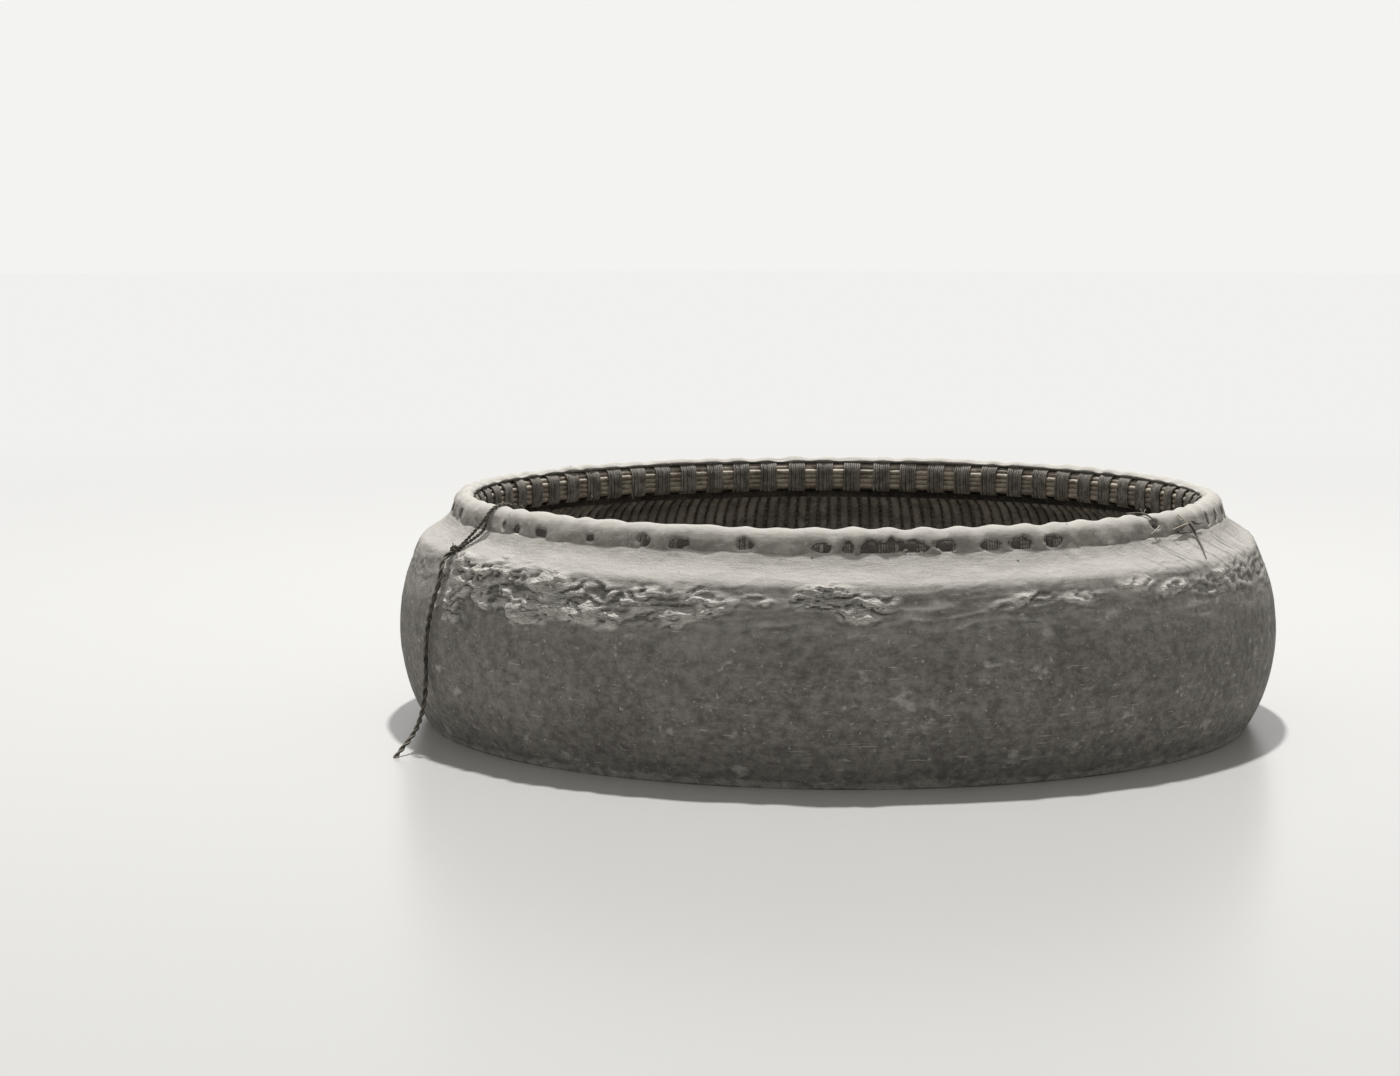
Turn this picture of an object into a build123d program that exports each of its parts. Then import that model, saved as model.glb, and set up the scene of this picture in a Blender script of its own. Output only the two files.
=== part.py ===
"""Round river coracle: a coiled basket bowl with split-branch ribs, a lashed gunwale and a coat of bitumen.

Units are millimetres, with Z up. The origin is on the axis of the bowl at the underside of its flat bottom.
The hull is drawn in bays, one for each gunwale lashing. A bay is the wall's section, drawn through the
middle of the bay, carried straight across it and cut at half a bay to each side.
Sections are lists of corners (radius, height), from the axis outwards and up to the gunwale.
"""

from build123d import *
from itertools import pairwise
from math import cos, pi, radians, sin, sqrt, tan
import os

os.makedirs("parts", exist_ok=True)

# Plan of the hull
bays = 72
bay_angle = 360 / bays
half_bay = bay_angle / 2

# Form of the hull, to the outer face of its coat
bottom_radius = 1040
belly_radius = 1600
belly_height = 590
shoulder_reach = 200
shoulder_rise = 370
lower_bands = 3
upper_bands = 3

# Thickness of the wall, from outside to inside
coat_thickness = 18
basket_thickness = 30
rib_depth = 15
rib_width = 33
rib_seat_gap = 0.1
rib_end_gap = 3

# Apron, a second layer of bitumen over the shoulder, to the smooth form of the shoulder
apron_thickness = 8
apron_foot_height = 730
apron_low_angle = 24
apron_crown_angle = 45

# Gunwale, a bundle of withies bent into a hoop on the upper face of the basket
gunwale_setback = 45
gunwale_width = 84
gunwale_side_rise = 78
gunwale_crest_rise = 20
lashing_thickness = 7
lashing_width = 70
lashing_leg = 12
rim_coat_thickness = 13
coat_lip_reach = 27

# Floor, two crossing layers of straight strips on the bottom of the basket
floor_strips = 16
floor_strip_width = 88
floor_strip_thickness = 12
floor_edge_gap = 12

# Painter, a rope tied round the gunwale between two lashings
rope_diameter = 18
rope_sides = 5
rope_gap = 2
strand_gap = 2
painter_bearing = 207
hitch_reach = 56
hitch_length = 46
hitch_width = 54
hitch_depth = 44
hitch_corner = 6
end_knot_length = 46
end_knot_width = 38
end_knot_corner = 9

# Sizes that follow from the ones above
neck_radius = belly_radius - shoulder_reach
neck_height = belly_height + shoulder_rise
gunwale_radius = neck_radius - gunwale_setback
gunwale_side_height = neck_height + gunwale_side_rise
gunwale_crest_height = gunwale_side_height + gunwale_crest_rise
gunwale_inner_radius = gunwale_radius - gunwale_width / 2
gunwale_outer_radius = gunwale_radius + gunwale_width / 2
lashing_inner_radius = gunwale_inner_radius - lashing_thickness
lashing_outer_radius = gunwale_outer_radius + lashing_thickness
rim_cover = lashing_thickness + rim_coat_thickness
rim_outer_radius = gunwale_outer_radius + rim_cover
coat_lip_radius = gunwale_radius - coat_lip_reach
lining_depth = coat_thickness + basket_thickness
rope_radius = rope_diameter / 2
first_bay = painter_bearing % bay_angle + half_bay
rope_stand = rope_radius + rope_gap
strand_shift = rope_radius + strand_gap / 2


def quarter_turn(bands):
    """Angles of the corners of a quarter ellipse in radians, from its start to its end."""
    return [step * pi / 2 / bands for step in range(bands + 1)]


def hull_corners():
    """Corners of the coat's outer face: the axis, the bilge, the belly and the neck."""
    lower_reach = belly_radius - bottom_radius
    lower = [
        (bottom_radius + lower_reach * sin(turn), belly_height * (1 - cos(turn)))
        for turn in quarter_turn(lower_bands)
    ]
    upper = [
        (neck_radius + shoulder_reach * cos(turn), belly_height + shoulder_rise * sin(turn))
        for turn in quarter_turn(upper_bands)
    ]
    return [(0, 0)] + lower + upper[1:]


def inset(corners, depth):
    """A run of corners moved to its left by depth, measured square to each stretch."""
    points = [Vector(*corner) for corner in corners]
    stretches = [(end - start).normalized() for start, end in pairwise(points)]
    sides = [Vector(-stretch.Y, stretch.X) for stretch in stretches]
    moved = [points[0] + sides[0] * depth]
    for point, before, after in zip(points[1:], sides, sides[1:]):
        moved.append(point + (before + after) * (depth / (1 + before.dot(after))))
    moved.append(points[-1] + sides[-1] * depth)
    return moved


def ended_at(points, radius):
    """A run of corners whose last stretch ends at a radius."""
    start, end = points[-2:]
    return points[:-1] + [start + (end - start) * ((radius - start.X) / (end.X - start.X))]


def wall(depth, radius):
    """Corners of the wall's section at a depth inside the coat's outer face, ended at a radius."""
    return ended_at(inset(hull_corners(), depth), radius)


def over_gunwale(cover):
    """Corners over the gunwale at a distance outside its withies, from its outer side to its inner side."""
    gunwale = [
        (gunwale_outer_radius, neck_height),
        (gunwale_outer_radius, gunwale_side_height),
        (gunwale_radius, gunwale_crest_height),
        (gunwale_inner_radius, gunwale_side_height),
        (gunwale_inner_radius, neck_height),
    ]
    return inset(gunwale, -cover)


def ring(section):
    """A hoop with one flat side to each bay, from a section given as a closed run of corners."""
    reach = belly_radius * tan(radians(bay_angle))
    with BuildPart() as bay:
        with BuildSketch(Plane.XZ):
            with BuildLine():
                Polyline(*[(corner.X, corner.Y) for corner in section], close=True)
            make_face()
        extrude(amount=reach, both=True)
        split(bisect_by=side_plane(half_bay), keep=Keep.BOTTOM)
        split(bisect_by=side_plane(-half_bay), keep=Keep.TOP)
    with BuildPart() as sector:
        with PolarLocations(0, 6, start_angle=first_bay, angular_range=6 * bay_angle):
            add(bay.part)
    with BuildPart() as hoop:
        with PolarLocations(0, bays // 6):
            add(sector.part)
    return hoop.part


def side_plane(angle):
    """The upright plane through the axis at an angle from X, facing the way the angle grows."""
    turned = Vector(1, 0, 0).rotate(Axis.Z, angle)
    facing = Vector(0, 1, 0).rotate(Axis.Z, angle)
    return Plane(origin=(0, 0, 0), x_dir=turned, z_dir=facing)


def painter_plane(shift=0):
    """The upright plane through the painter's knot, X outwards and Y up, moved sideways by shift."""
    outwards = Vector(1, 0, 0).rotate(Axis.Z, painter_bearing)
    facing = outwards.cross(Vector(0, 0, 1))
    return Plane(origin=facing * shift, x_dir=outwards, z_dir=facing)


def rib(corners):
    """A split branch on the inner face of the basket, flat side outwards, from the gunwale down."""
    path_points = [(corner.X, 0, corner.Y) for corner in reversed(corners)]
    with BuildPart() as branch:
        with BuildLine() as path:
            Polyline(*path_points)
        with BuildSketch(Plane(origin=path.line @ 0, x_dir=(0, 1, 0), z_dir=path.line % 0)):
            with BuildLine():
                Polyline((-rib_width / 2, 0), (rib_width / 2, 0), (0, -rib_depth), close=True)
            make_face()
        sweep(path=path.line, transition=Transition.RIGHT)
        with BuildSketch(Plane.XZ.offset(-rib_width)):
            with Locations((gunwale_inner_radius + rib_end_gap, belly_height)):
                Rectangle(rib_width * 2, neck_height - belly_height + rib_width, align=(Align.MAX, Align.MIN))
        extrude(amount=rib_width * 2, mode=Mode.SUBTRACT)
    return branch.part


def strip_length(offset):
    """Length of a floor strip whose outer edge lies at an offset from the middle of the floor."""
    return 2 * sqrt(floor_radius**2 - offset**2)


# Painter's way round the gunwale: from the knot in under the neck, up inside, over the crest and back
def on_shoulder(reach, stand):
    """A point of the section at a reach down the shoulder from the neck and a height over the coat."""
    return neck_corner + shoulder_run * reach + shoulder_side * stand


neck_corner = wall(0, rim_outer_radius)[-1]
shoulder_run = (wall(0, rim_outer_radius)[-2] - neck_corner).normalized()
shoulder_side = Vector(-shoulder_run.Y, shoulder_run.X)
upper_stand = rope_stand + rope_diameter + rope_gap
slot_depth = -coat_thickness - rope_stand
over_rim = over_gunwale(rim_cover + rope_stand)
slot_inside = wall(coat_thickness + rope_stand, gunwale_inner_radius - rope_stand)[-1]
slot_outside = on_shoulder(rope_radius, slot_depth)
slot_exit = on_shoulder(hitch_reach - rope_radius, rope_stand)
upper_neck = wall(-upper_stand, rim_outer_radius + rope_stand)[-1]
loop_corners = [
    on_shoulder(hitch_reach, rope_stand),
    slot_exit,
    slot_outside,
    slot_inside,
    over_rim[3],
    over_rim[2],
    over_rim[1],
    upper_neck,
    on_shoulder(hitch_reach, upper_stand),
]

# Painter's route from the knot to its end on the ground: x, y, z
painter_route = [
    (-1353.3, -689.5, 926.8),
    (-1382, -704.2, 910.8),
    (-1388, -732, 879),
    (-1394, -753, 830),
    (-1419, -750, 760),
    (-1437, -729, 678),
    (-1447.5, -712, 590),
    (-1447, -702, 500),
    (-1452, -696, 426),
    (-1458, -738, 372),
    (-1476, -828, 317),
    (-1533, -924, 256),
    (-1580, -1030, 175),
    (-1584, -1144, 95),
    (-1560, -1242, 32),
    (-1496, -1334, 9.5),
    (-1388, -1382, 9.5),
    (-1260, -1376, 9.5),
    (-1130, -1357, 9.5),
    (-1024, -1384, 12),
    (-944, -1432, 20),
]


def bend_radii(route):
    """Radius of the arc at each inner corner of a route, as large as its two runs allow."""
    points = [Vector(*point) for point in route]
    runs = [end - start for start, end in pairwise(points)]
    radii = []
    for before, after in pairwise(runs):
        half_turn = radians(before.get_angle(after)) / 2
        radii.append(0.45 * min(before.length, after.length) / tan(half_turn))
    return radii


def over_shoulder(angle, stand):
    """A point of the section over the smooth shoulder, at an angle above the belly and a height over it."""
    turn = radians(angle)
    place = Vector(neck_radius + shoulder_reach * cos(turn), belly_height + shoulder_rise * sin(turn))
    return place + Vector(shoulder_rise * cos(turn), shoulder_reach * sin(turn)).normalized() * stand


# Coat of bitumen over the outside of the basket and of the gunwale, with the apron's step below the shoulder
bare_coat = wall(0, rim_outer_radius)
belly_corner, band_corner = bare_coat[1 + lower_bands : 3 + lower_bands]
apron_foot_share = (apron_foot_height - belly_height) / (band_corner.Y - belly_corner.Y)
apron = [
    belly_corner + (band_corner - belly_corner) * apron_foot_share,
    over_shoulder(apron_low_angle, apron_thickness),
    over_shoulder(apron_crown_angle, apron_thickness),
]
coat_outer = bare_coat[: 2 + lower_bands] + apron + bare_coat[-2:]
coat_outer += ended_at(over_gunwale(rim_cover)[1:4], coat_lip_radius)
coat_inner = wall(coat_thickness, lashing_outer_radius)
coat_inner += ended_at(over_gunwale(lashing_thickness)[1:4], coat_lip_radius)
slot_height = rope_diameter + 2 * rope_gap
slot_width = 2 * (strand_shift + rope_stand)
slot_start = slot_inside + (slot_inside - slot_outside).normalized() * slot_height
slot_finish = slot_exit + (slot_exit - slot_outside).normalized() * slot_height
with BuildPart() as slot:
    with BuildLine(painter_plane()) as slot_path:
        Polyline(*[(corner.X, corner.Y) for corner in (slot_start, slot_outside, slot_finish)])
    with BuildSketch(Plane(origin=slot_path.line @ 0, x_dir=painter_plane().z_dir, z_dir=slot_path.line % 0)):
        Rectangle(slot_width, slot_height)
    sweep(path=slot_path.line, transition=Transition.RIGHT)

with BuildPart() as bitumen_coat:
    add(ring(coat_outer + coat_inner[::-1]))
    add(slot.part, mode=Mode.SUBTRACT)
bitumen_coat.part.label = "bitumen_coat"

# Basket wall of coiled reed
basket_outer = wall(coat_thickness, gunwale_inner_radius)
basket_inner = wall(lining_depth, gunwale_inner_radius)
with BuildPart() as coiled_basket:
    add(ring(basket_outer + basket_inner[::-1]))
    add(slot.part, mode=Mode.SUBTRACT)
coiled_basket.part.label = "coiled_basket"

# Ribs: one long rib in the middle of each bay and a short one at a third of a bay to each side
rib_line = wall(lining_depth + rib_seat_gap, gunwale_inner_radius - rib_width)
long_rib = rib(rib_line[1:])
short_rib = rib(rib_line[2 + lower_bands :])
with BuildPart() as long_ribs:
    with PolarLocations(0, bays, start_angle=first_bay):
        add(long_rib)
long_ribs.part.label = "long_ribs"

with BuildPart() as short_ribs:
    with PolarLocations(0, bays, start_angle=first_bay - bay_angle / 3):
        add(short_rib)
    with PolarLocations(0, bays, start_angle=first_bay + bay_angle / 3):
        add(short_rib)
short_ribs.part.label = "short_ribs"

# Floor strips, the upper layer across the lower one
floor_radius = wall(lining_depth + rib_depth, gunwale_inner_radius)[1].X - floor_edge_gap
floor_pitch = 2 * floor_radius / floor_strips


def strip_layer(height, angle):
    """A layer of parallel floor strips, its underside at a height, turned by an angle."""
    with BuildPart() as layer:
        for number in range(floor_strips):
            middle = (number + 0.5 - floor_strips / 2) * floor_pitch
            outer_edge = abs(middle) + floor_strip_width / 2
            with BuildSketch(Plane.XY.offset(height).rotated((0, 0, angle))):
                with Locations((0, middle)):
                    Rectangle(strip_length(outer_edge), floor_strip_width)
            extrude(amount=floor_strip_thickness)
    return layer.part


with BuildPart() as floor_strips_lower:
    add(strip_layer(lining_depth, 0))
floor_strips_lower.part.label = "floor_strips_lower"

with BuildPart() as floor_strips_upper:
    add(strip_layer(lining_depth + floor_strip_thickness, 90))
floor_strips_upper.part.label = "floor_strips_upper"

# Gunwale hoop, seated on the upper face of the basket
gunwale_outline = over_gunwale(0)[1:4]
with BuildPart() as gunwale_withies:
    add(ring([wall(coat_thickness, gunwale_outer_radius)[-1]] + gunwale_outline + [basket_outer[-1]]))
gunwale_withies.part.label = "gunwale_withies"

# Lashings, each over the gunwale and down inside past the edge of the basket and the ends of the ribs
lashing_end = wall(lining_depth + rib_depth, gunwale_inner_radius)[-1].Y - lashing_leg
lashing_outline = (
    [wall(coat_thickness, lashing_outer_radius)[-1]]
    + over_gunwale(lashing_thickness)[1:4]
    + [Vector(lashing_inner_radius, lashing_end), Vector(gunwale_inner_radius, lashing_end)]
    + gunwale_outline[::-1]
    + [wall(coat_thickness, gunwale_outer_radius)[-1]]
)
with BuildPart() as lashing:
    with BuildSketch(Plane.XZ):
        with BuildLine():
            Polyline(*[(corner.X, corner.Y) for corner in lashing_outline], close=True)
        make_face()
    extrude(amount=lashing_width / 2, both=True)

with BuildPart() as gunwale_lashings:
    with PolarLocations(0, bays, start_angle=first_bay):
        add(lashing.part)
gunwale_lashings.part.label = "gunwale_lashings"

# Painter's loop, two strands side by side round the gunwale
with BuildPart() as painter_loop:
    for shift in (-strand_shift, strand_shift):
        with BuildLine(painter_plane(shift)) as strand:
            Polyline(*[(corner.X, corner.Y) for corner in loop_corners])
        with BuildSketch(Plane(origin=strand.line @ 0, z_dir=strand.line % 0)):
            RegularPolygon(radius=rope_radius, side_count=rope_sides)
        sweep(path=strand.line, transition=Transition.RIGHT)
painter_loop.part.label = "painter_loop"

# Painter's knot, which gathers the ends of the loop on the shoulder
hitch_corners = [
    on_shoulder(hitch_reach, rope_gap / 2),
    on_shoulder(hitch_reach + hitch_length, rope_gap / 2),
    on_shoulder(hitch_reach + hitch_length, rope_gap / 2 + hitch_depth),
    on_shoulder(hitch_reach, rope_gap / 2 + hitch_depth),
]
with BuildPart() as painter_hitch:
    with BuildSketch(painter_plane()):
        with BuildLine():
            Polyline(*[(corner.X, corner.Y) for corner in hitch_corners], close=True)
        make_face()
    extrude(amount=hitch_width / 2, both=True)
    chamfer(painter_hitch.edges(), length=hitch_corner)
painter_hitch.part.label = "painter_hitch"

# Painter, hanging down the side of the hull, then lying on the ground
painter_radii = bend_radii(painter_route)
with BuildPart() as painter:
    with BuildLine() as painter_path:
        FilletPolyline(*painter_route, radius=painter_radii)
    with BuildSketch(Plane(origin=painter_path.line @ 0, z_dir=painter_path.line % 0)):
        RegularPolygon(radius=rope_radius, side_count=rope_sides)
    sweep(path=painter_path.line)
painter.part.label = "painter"

# Knot at the painter's end
with BuildPart() as painter_end_knot:
    with BuildSketch(Plane(origin=painter_path.line @ 1, z_dir=painter_path.line % 1)):
        Rectangle(end_knot_width, end_knot_width)
    extrude(amount=end_knot_length)
    chamfer(painter_end_knot.edges(), length=end_knot_corner)
painter_end_knot.part.label = "painter_end_knot"

pieces = [
    bitumen_coat,
    coiled_basket,
    long_ribs,
    short_ribs,
    floor_strips_lower,
    floor_strips_upper,
    gunwale_withies,
    gunwale_lashings,
    painter_loop,
    painter_hitch,
    painter,
    painter_end_knot,
]
for piece in pieces:
    export_step(piece.part, f"parts/{piece.part.label}.step")

print("painter bend radii:", [round(radius) for radius in painter_radii])
print("painter length:", round(painter_path.wires()[0].length))
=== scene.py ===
"""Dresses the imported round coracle: bitumen coat, ribs, gunwale, lashings, floor strips and painter."""

import logging
from dataclasses import dataclass, field
from enum import Enum
from math import cos, pi, radians, sin
from typing import Any, Callable, Sequence

import bpy
import numpy as np
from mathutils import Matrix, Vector


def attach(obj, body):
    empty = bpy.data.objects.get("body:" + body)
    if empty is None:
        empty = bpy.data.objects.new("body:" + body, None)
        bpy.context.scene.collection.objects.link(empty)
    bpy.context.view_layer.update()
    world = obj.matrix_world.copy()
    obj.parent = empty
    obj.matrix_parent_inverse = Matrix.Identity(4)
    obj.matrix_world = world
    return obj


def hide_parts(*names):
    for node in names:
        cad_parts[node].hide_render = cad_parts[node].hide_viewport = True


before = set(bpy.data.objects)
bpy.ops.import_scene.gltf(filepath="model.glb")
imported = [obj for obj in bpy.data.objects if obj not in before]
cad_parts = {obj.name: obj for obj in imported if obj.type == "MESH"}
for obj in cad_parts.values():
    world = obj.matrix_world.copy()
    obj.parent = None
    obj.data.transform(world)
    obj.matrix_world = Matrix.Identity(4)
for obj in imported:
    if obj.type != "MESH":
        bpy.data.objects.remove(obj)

logging.basicConfig(level=logging.INFO, format="%(message)s")
log = logging.getLogger("coracle")
Socket = bpy.types.NodeSocket
Pair = tuple[float, float]
Triple = tuple[float, float, float]
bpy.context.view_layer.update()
BAYS = 72
FIRST_BAY = radians(4.5)
BAY = 2 * pi / BAYS
WATERLINE = 0.250
NOISE_CELLS = 64
LAYERED_REACH = 1.4
FLOAT, VECTOR, GEOMETRY = "NodeSocketFloat", "NodeSocketVector", "NodeSocketGeometry"


class Slot(Enum):
    """Material slots of the record, named for each piece made here."""

    BITUMEN = "bitumen"
    REED = "reed"
    RIB_WOOD = "rib_wood"
    WITHY = "withy"
    PALM_CORD = "palm_cord"
    ROPE = "rope"


# Numbers and curves


def lattice_noise(points: np.ndarray, scale: Sequence[float], seed: int) -> np.ndarray:
    """Smooth random values that repeat from run to run.

    Args:
        points: Places, one row each, in metres.
        scale: Cells per metre along X, Y and Z.
        seed: Number that picks the pattern.

    Returns:
        One value from -1 to 1 for each place.
    """
    table = np.random.default_rng(seed).random((NOISE_CELLS,) * 3) * 2 - 1
    cells = points * np.asarray(scale)
    base = np.floor(cells).astype(int)
    ease = cells - base
    ease = ease * ease * (3 - 2 * ease)
    total = np.zeros(len(points))
    for corner in np.ndindex(2, 2, 2):
        weight = np.prod(np.where(corner, ease, 1 - ease), axis=1)
        index = (base + corner) % NOISE_CELLS
        total += weight * table[index[:, 0], index[:, 1], index[:, 2]]
    return total


def layered_noise(points: np.ndarray, scale: Sequence[float], seed: int, layers: int = 3) -> np.ndarray:
    """Lattice noise with finer layers over it.

    Args:
        points: Places, one row each, in metres.
        scale: Cells per metre of the coarsest layer.
        seed: Number that picks the pattern.
        layers: How many layers, each twice as fine and half as strong.

    Returns:
        One value, mostly from -1 to 1, for each place.
    """
    scale = np.asarray(scale, float)
    total = sum(lattice_noise(points, scale * 2**step, seed + step) / 2**step for step in range(layers))
    return total / LAYERED_REACH


def turn_from(points: np.ndarray, bearing: float) -> np.ndarray:
    """Angle round the hull from a bearing in degrees to each point, in radians from -pi to pi."""
    return (np.arctan2(points[:, 1], points[:, 0]) - radians(bearing) + pi) % (2 * pi) - pi


def smooth_step(low: float, high: float, value: np.ndarray) -> np.ndarray:
    """A ramp from 0 at low to 1 at high that starts and ends gently."""
    ramp = np.clip((value - low) / (high - low), 0, 1)
    return ramp * ramp * (3 - 2 * ramp)


def rounded(corners: Sequence[Sequence[float]], times: int) -> np.ndarray:
    """A run of corners with each corner cut again and again, its ends kept.

    Args:
        corners: Points of the run.
        times: How often the corners are cut.

    Returns:
        The points of the rounded run.
    """
    run = np.asarray(corners, float)
    for _ in range(times):
        cuts = np.stack([run[:-1] * 0.75 + run[1:] * 0.25, run[:-1] * 0.25 + run[1:] * 0.75], 1)
        run = np.concatenate([run[:1], cuts.reshape(-1, run.shape[1]), run[-1:]])
    return run


def reach_along(run: np.ndarray) -> np.ndarray:
    """Distance of each point of a run from its first one, along the run."""
    return np.concatenate([[0], np.cumsum(np.linalg.norm(np.diff(run, axis=0), axis=1))])


def spaced(run: np.ndarray, count: int) -> np.ndarray:
    """A run of points drawn again with even spacing.

    Args:
        run: Points of the run.
        count: Number of points wanted.

    Returns:
        That many points, from the run's first to its last.
    """
    reach = reach_along(run)
    places = np.linspace(0, reach[-1], count)
    return np.stack([np.interp(places, reach, run[:, axis]) for axis in range(run.shape[1])], 1)


def directions(run: np.ndarray) -> np.ndarray:
    """Way that a run of points takes at each of them, of length 1."""
    along = np.gradient(run, axis=0)
    return along / np.maximum(np.linalg.norm(along, axis=1, keepdims=True), 1e-9)


def sides_of(section: np.ndarray) -> np.ndarray:
    """Directions square to a section, to the right of the way that it runs."""
    along = directions(section)
    return np.stack([along[:, 1], -along[:, 0]], 1)


def frames(path: np.ndarray) -> tuple[np.ndarray, np.ndarray]:
    """Directions square to a path that turn with it as little as they can.

    Args:
        path: Points of the path.

    Returns:
        Two directions, square to each other, for each point.
    """
    along = directions(path)
    first = np.cross(along[0], [0, 0, 1] if abs(along[0, 2]) < 0.9 else [1, 0, 0])
    firsts = []
    for way in along:
        first = first - way * first.dot(way)
        first = first / np.linalg.norm(first)
        firsts.append(first)
    return np.array(firsts), np.cross(along, np.array(firsts))


@dataclass(frozen=True)
class Hull:
    """Smooth form of the bowl, to the outer face of its coat.

    Attributes:
        bottom: Radius of the flat bottom.
        belly: Largest radius.
        belly_height: Height of the largest radius.
        neck: Radius to which the shoulder curves in.
        rise: Height from the belly to the neck.
        shoulder_turn: Angle through which the shoulder's curve goes.
    """

    bottom: float = 1.040
    belly: float = 1.5985
    belly_height: float = 0.590
    neck: float = 1.400
    rise: float = 0.370
    shoulder_turn: float = 1.486

    def outline(self) -> np.ndarray:
        """The section's curve.

        Returns:
            Points (radius, height) from the axis out along the bottom and up to the neck.
        """
        flat = np.stack([np.linspace(0, self.bottom, 40), np.zeros(40)], 1)
        turn = np.linspace(0, pi / 2, 80)[1:]
        bilge_radius = self.bottom + (self.belly - self.bottom) * np.sin(turn)
        bilge = np.stack([bilge_radius, self.belly_height * (1 - np.cos(turn))], 1)
        turn = np.linspace(0, self.shoulder_turn, 80)[1:]
        shoulder_radius = self.neck + (self.belly - self.neck) * np.cos(turn)
        shoulder = np.stack([shoulder_radius, self.belly_height + self.rise * np.sin(turn)], 1)
        return np.concatenate([flat, bilge, shoulder])

    def section(self, depth: float, low: float, high: float, rows: int) -> np.ndarray:
        """Evenly spaced points of the wall's section.

        Args:
            depth: Distance inside the coat's outer face.
            low: Height of the first point, or a negative number for the axis.
            high: Height of the last point.
            rows: Number of points.

        Returns:
            Points (radius, height), upwards.
        """
        line = self.outline()
        line = line - sides_of(line) * depth
        line[0, 0] = 0
        keep = (line[:, 1] <= high) & ((line[:, 1] >= low) | (low < 0))
        return spaced(line[keep], rows)


HULL = Hull()


# Meshes


@dataclass
class Surface:
    """Points and faces of a mesh, with values kept on its points.

    Attributes:
        points: Places in metres, one row each.
        faces: Four or three point numbers for each face.
        values: Named values, one for each point.
    """

    points: np.ndarray
    faces: list[tuple[int, ...]]
    values: dict[str, np.ndarray] = field(default_factory=dict)

    def piece(self, name: str) -> bpy.types.Object:
        """A smooth mesh object of this surface, linked to the scene.

        Args:
            name: Name of the object.

        Returns:
            The object.
        """
        mesh = bpy.data.meshes.new(name)
        mesh.from_pydata(self.points.tolist(), [], self.faces)
        for label, value in self.values.items():
            layer = mesh.attributes.new(label, "FLOAT", "POINT")
            layer.data.foreach_set("value", value.astype(np.float32))
        mesh.shade_smooth()
        obj = bpy.data.objects.new(name, mesh)
        bpy.context.collection.objects.link(obj)
        return obj


def turned_surface(
    section: np.ndarray,
    columns: int,
    closed: bool,
    relief: Callable[[np.ndarray, np.ndarray], np.ndarray] | None = None,
) -> Surface:
    """A section turned about the upright axis, with a relief pressed into it.

    Args:
        section: Points (radius, height), with the solid on their left.
        columns: Number of points round the axis.
        closed: True where the section is a closed loop, False where it runs from axis to axis.
        relief: Gives the distance that each point moves outwards, from the points and their row numbers.

    Returns:
        A closed surface with its relief as a value of its points, in metres.
    """
    rows = len(section)
    turn = np.arange(columns) * 2 * pi / columns
    sides = sides_of(section)
    if closed:
        sides = sides_of(np.concatenate([section[-1:], section, section[:1]]))[1:-1]
    grid = np.empty((rows, columns, 3))
    grid[..., 0] = section[:, :1] * np.cos(turn)
    grid[..., 1] = section[:, :1] * np.sin(turn)
    grid[..., 2] = section[:, 1:]
    points = grid.reshape(-1, 3)
    row_numbers = np.repeat(np.arange(rows), columns)
    height = np.zeros(len(points))
    if relief is not None:
        height = relief(points, row_numbers)
        around = np.tile(turn, rows)
        side = sides[row_numbers]
        points = points + height[:, None] * np.stack(
            [side[:, 0] * np.cos(around), side[:, 0] * np.sin(around), side[:, 1]], 1
        )
    row, column = np.meshgrid(np.arange(rows if closed else rows - 1), np.arange(columns), indexing="ij")
    after, beside = (row + 1) % rows, (column + 1) % columns
    near, far = row * columns, after * columns
    quads = np.stack([near + column, near + beside, far + beside, far + column], -1)
    faces = [tuple(quad) for quad in quads.reshape(-1, 4).tolist()]
    if not closed:
        start, finish = len(points), len(points) + 1
        ends = np.array([[0, 0, points[0, 2]], [0, 0, points[-1, 2]]])
        last = (rows - 1) * columns
        faces += [(start, (index + 1) % columns, index) for index in range(columns)]
        faces += [(finish, last + index, last + (index + 1) % columns) for index in range(columns)]
        points = np.concatenate([points, ends])
        height = np.concatenate([height, [0, 0]])
    return Surface(points, faces, {"relief": height})


def tube(path: np.ndarray, radius: float | np.ndarray, sides: int, twist: float = 0.0) -> Surface:
    """A round tube along a path, with its ends closed.

    Args:
        path: Points that the middle of the tube follows.
        radius: Radius of the tube, for the whole of it or for each point.
        sides: Number of sides.
        twist: Turn of the tube's sides along its length, in radians per metre.

    Returns:
        The closed surface.
    """
    count = len(path)
    radii = np.broadcast_to(np.asarray(radius, float), (count,))[:, None, None]
    turn = (np.arange(sides) * 2 * pi / sides + twist * reach_along(path)[:, None])[..., None]
    first, second = frames(path)
    rings = path[:, None] + radii * (np.cos(turn) * first[:, None] + np.sin(turn) * second[:, None])
    faces: list[tuple[int, ...]] = []
    for low in range(0, (count - 1) * sides, sides):
        high = low + sides
        faces += [(low + k, low + (k + 1) % sides, high + (k + 1) % sides, high + k) for k in range(sides)]
    start, last = count * sides, (count - 1) * sides
    faces += [(start, (k + 1) % sides, k) for k in range(sides)]
    faces += [(start + 1, last + k, last + (k + 1) % sides) for k in range(sides)]
    return Surface(np.concatenate([rings.reshape(-1, 3), path[:1], path[-1:]]), faces)


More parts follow.
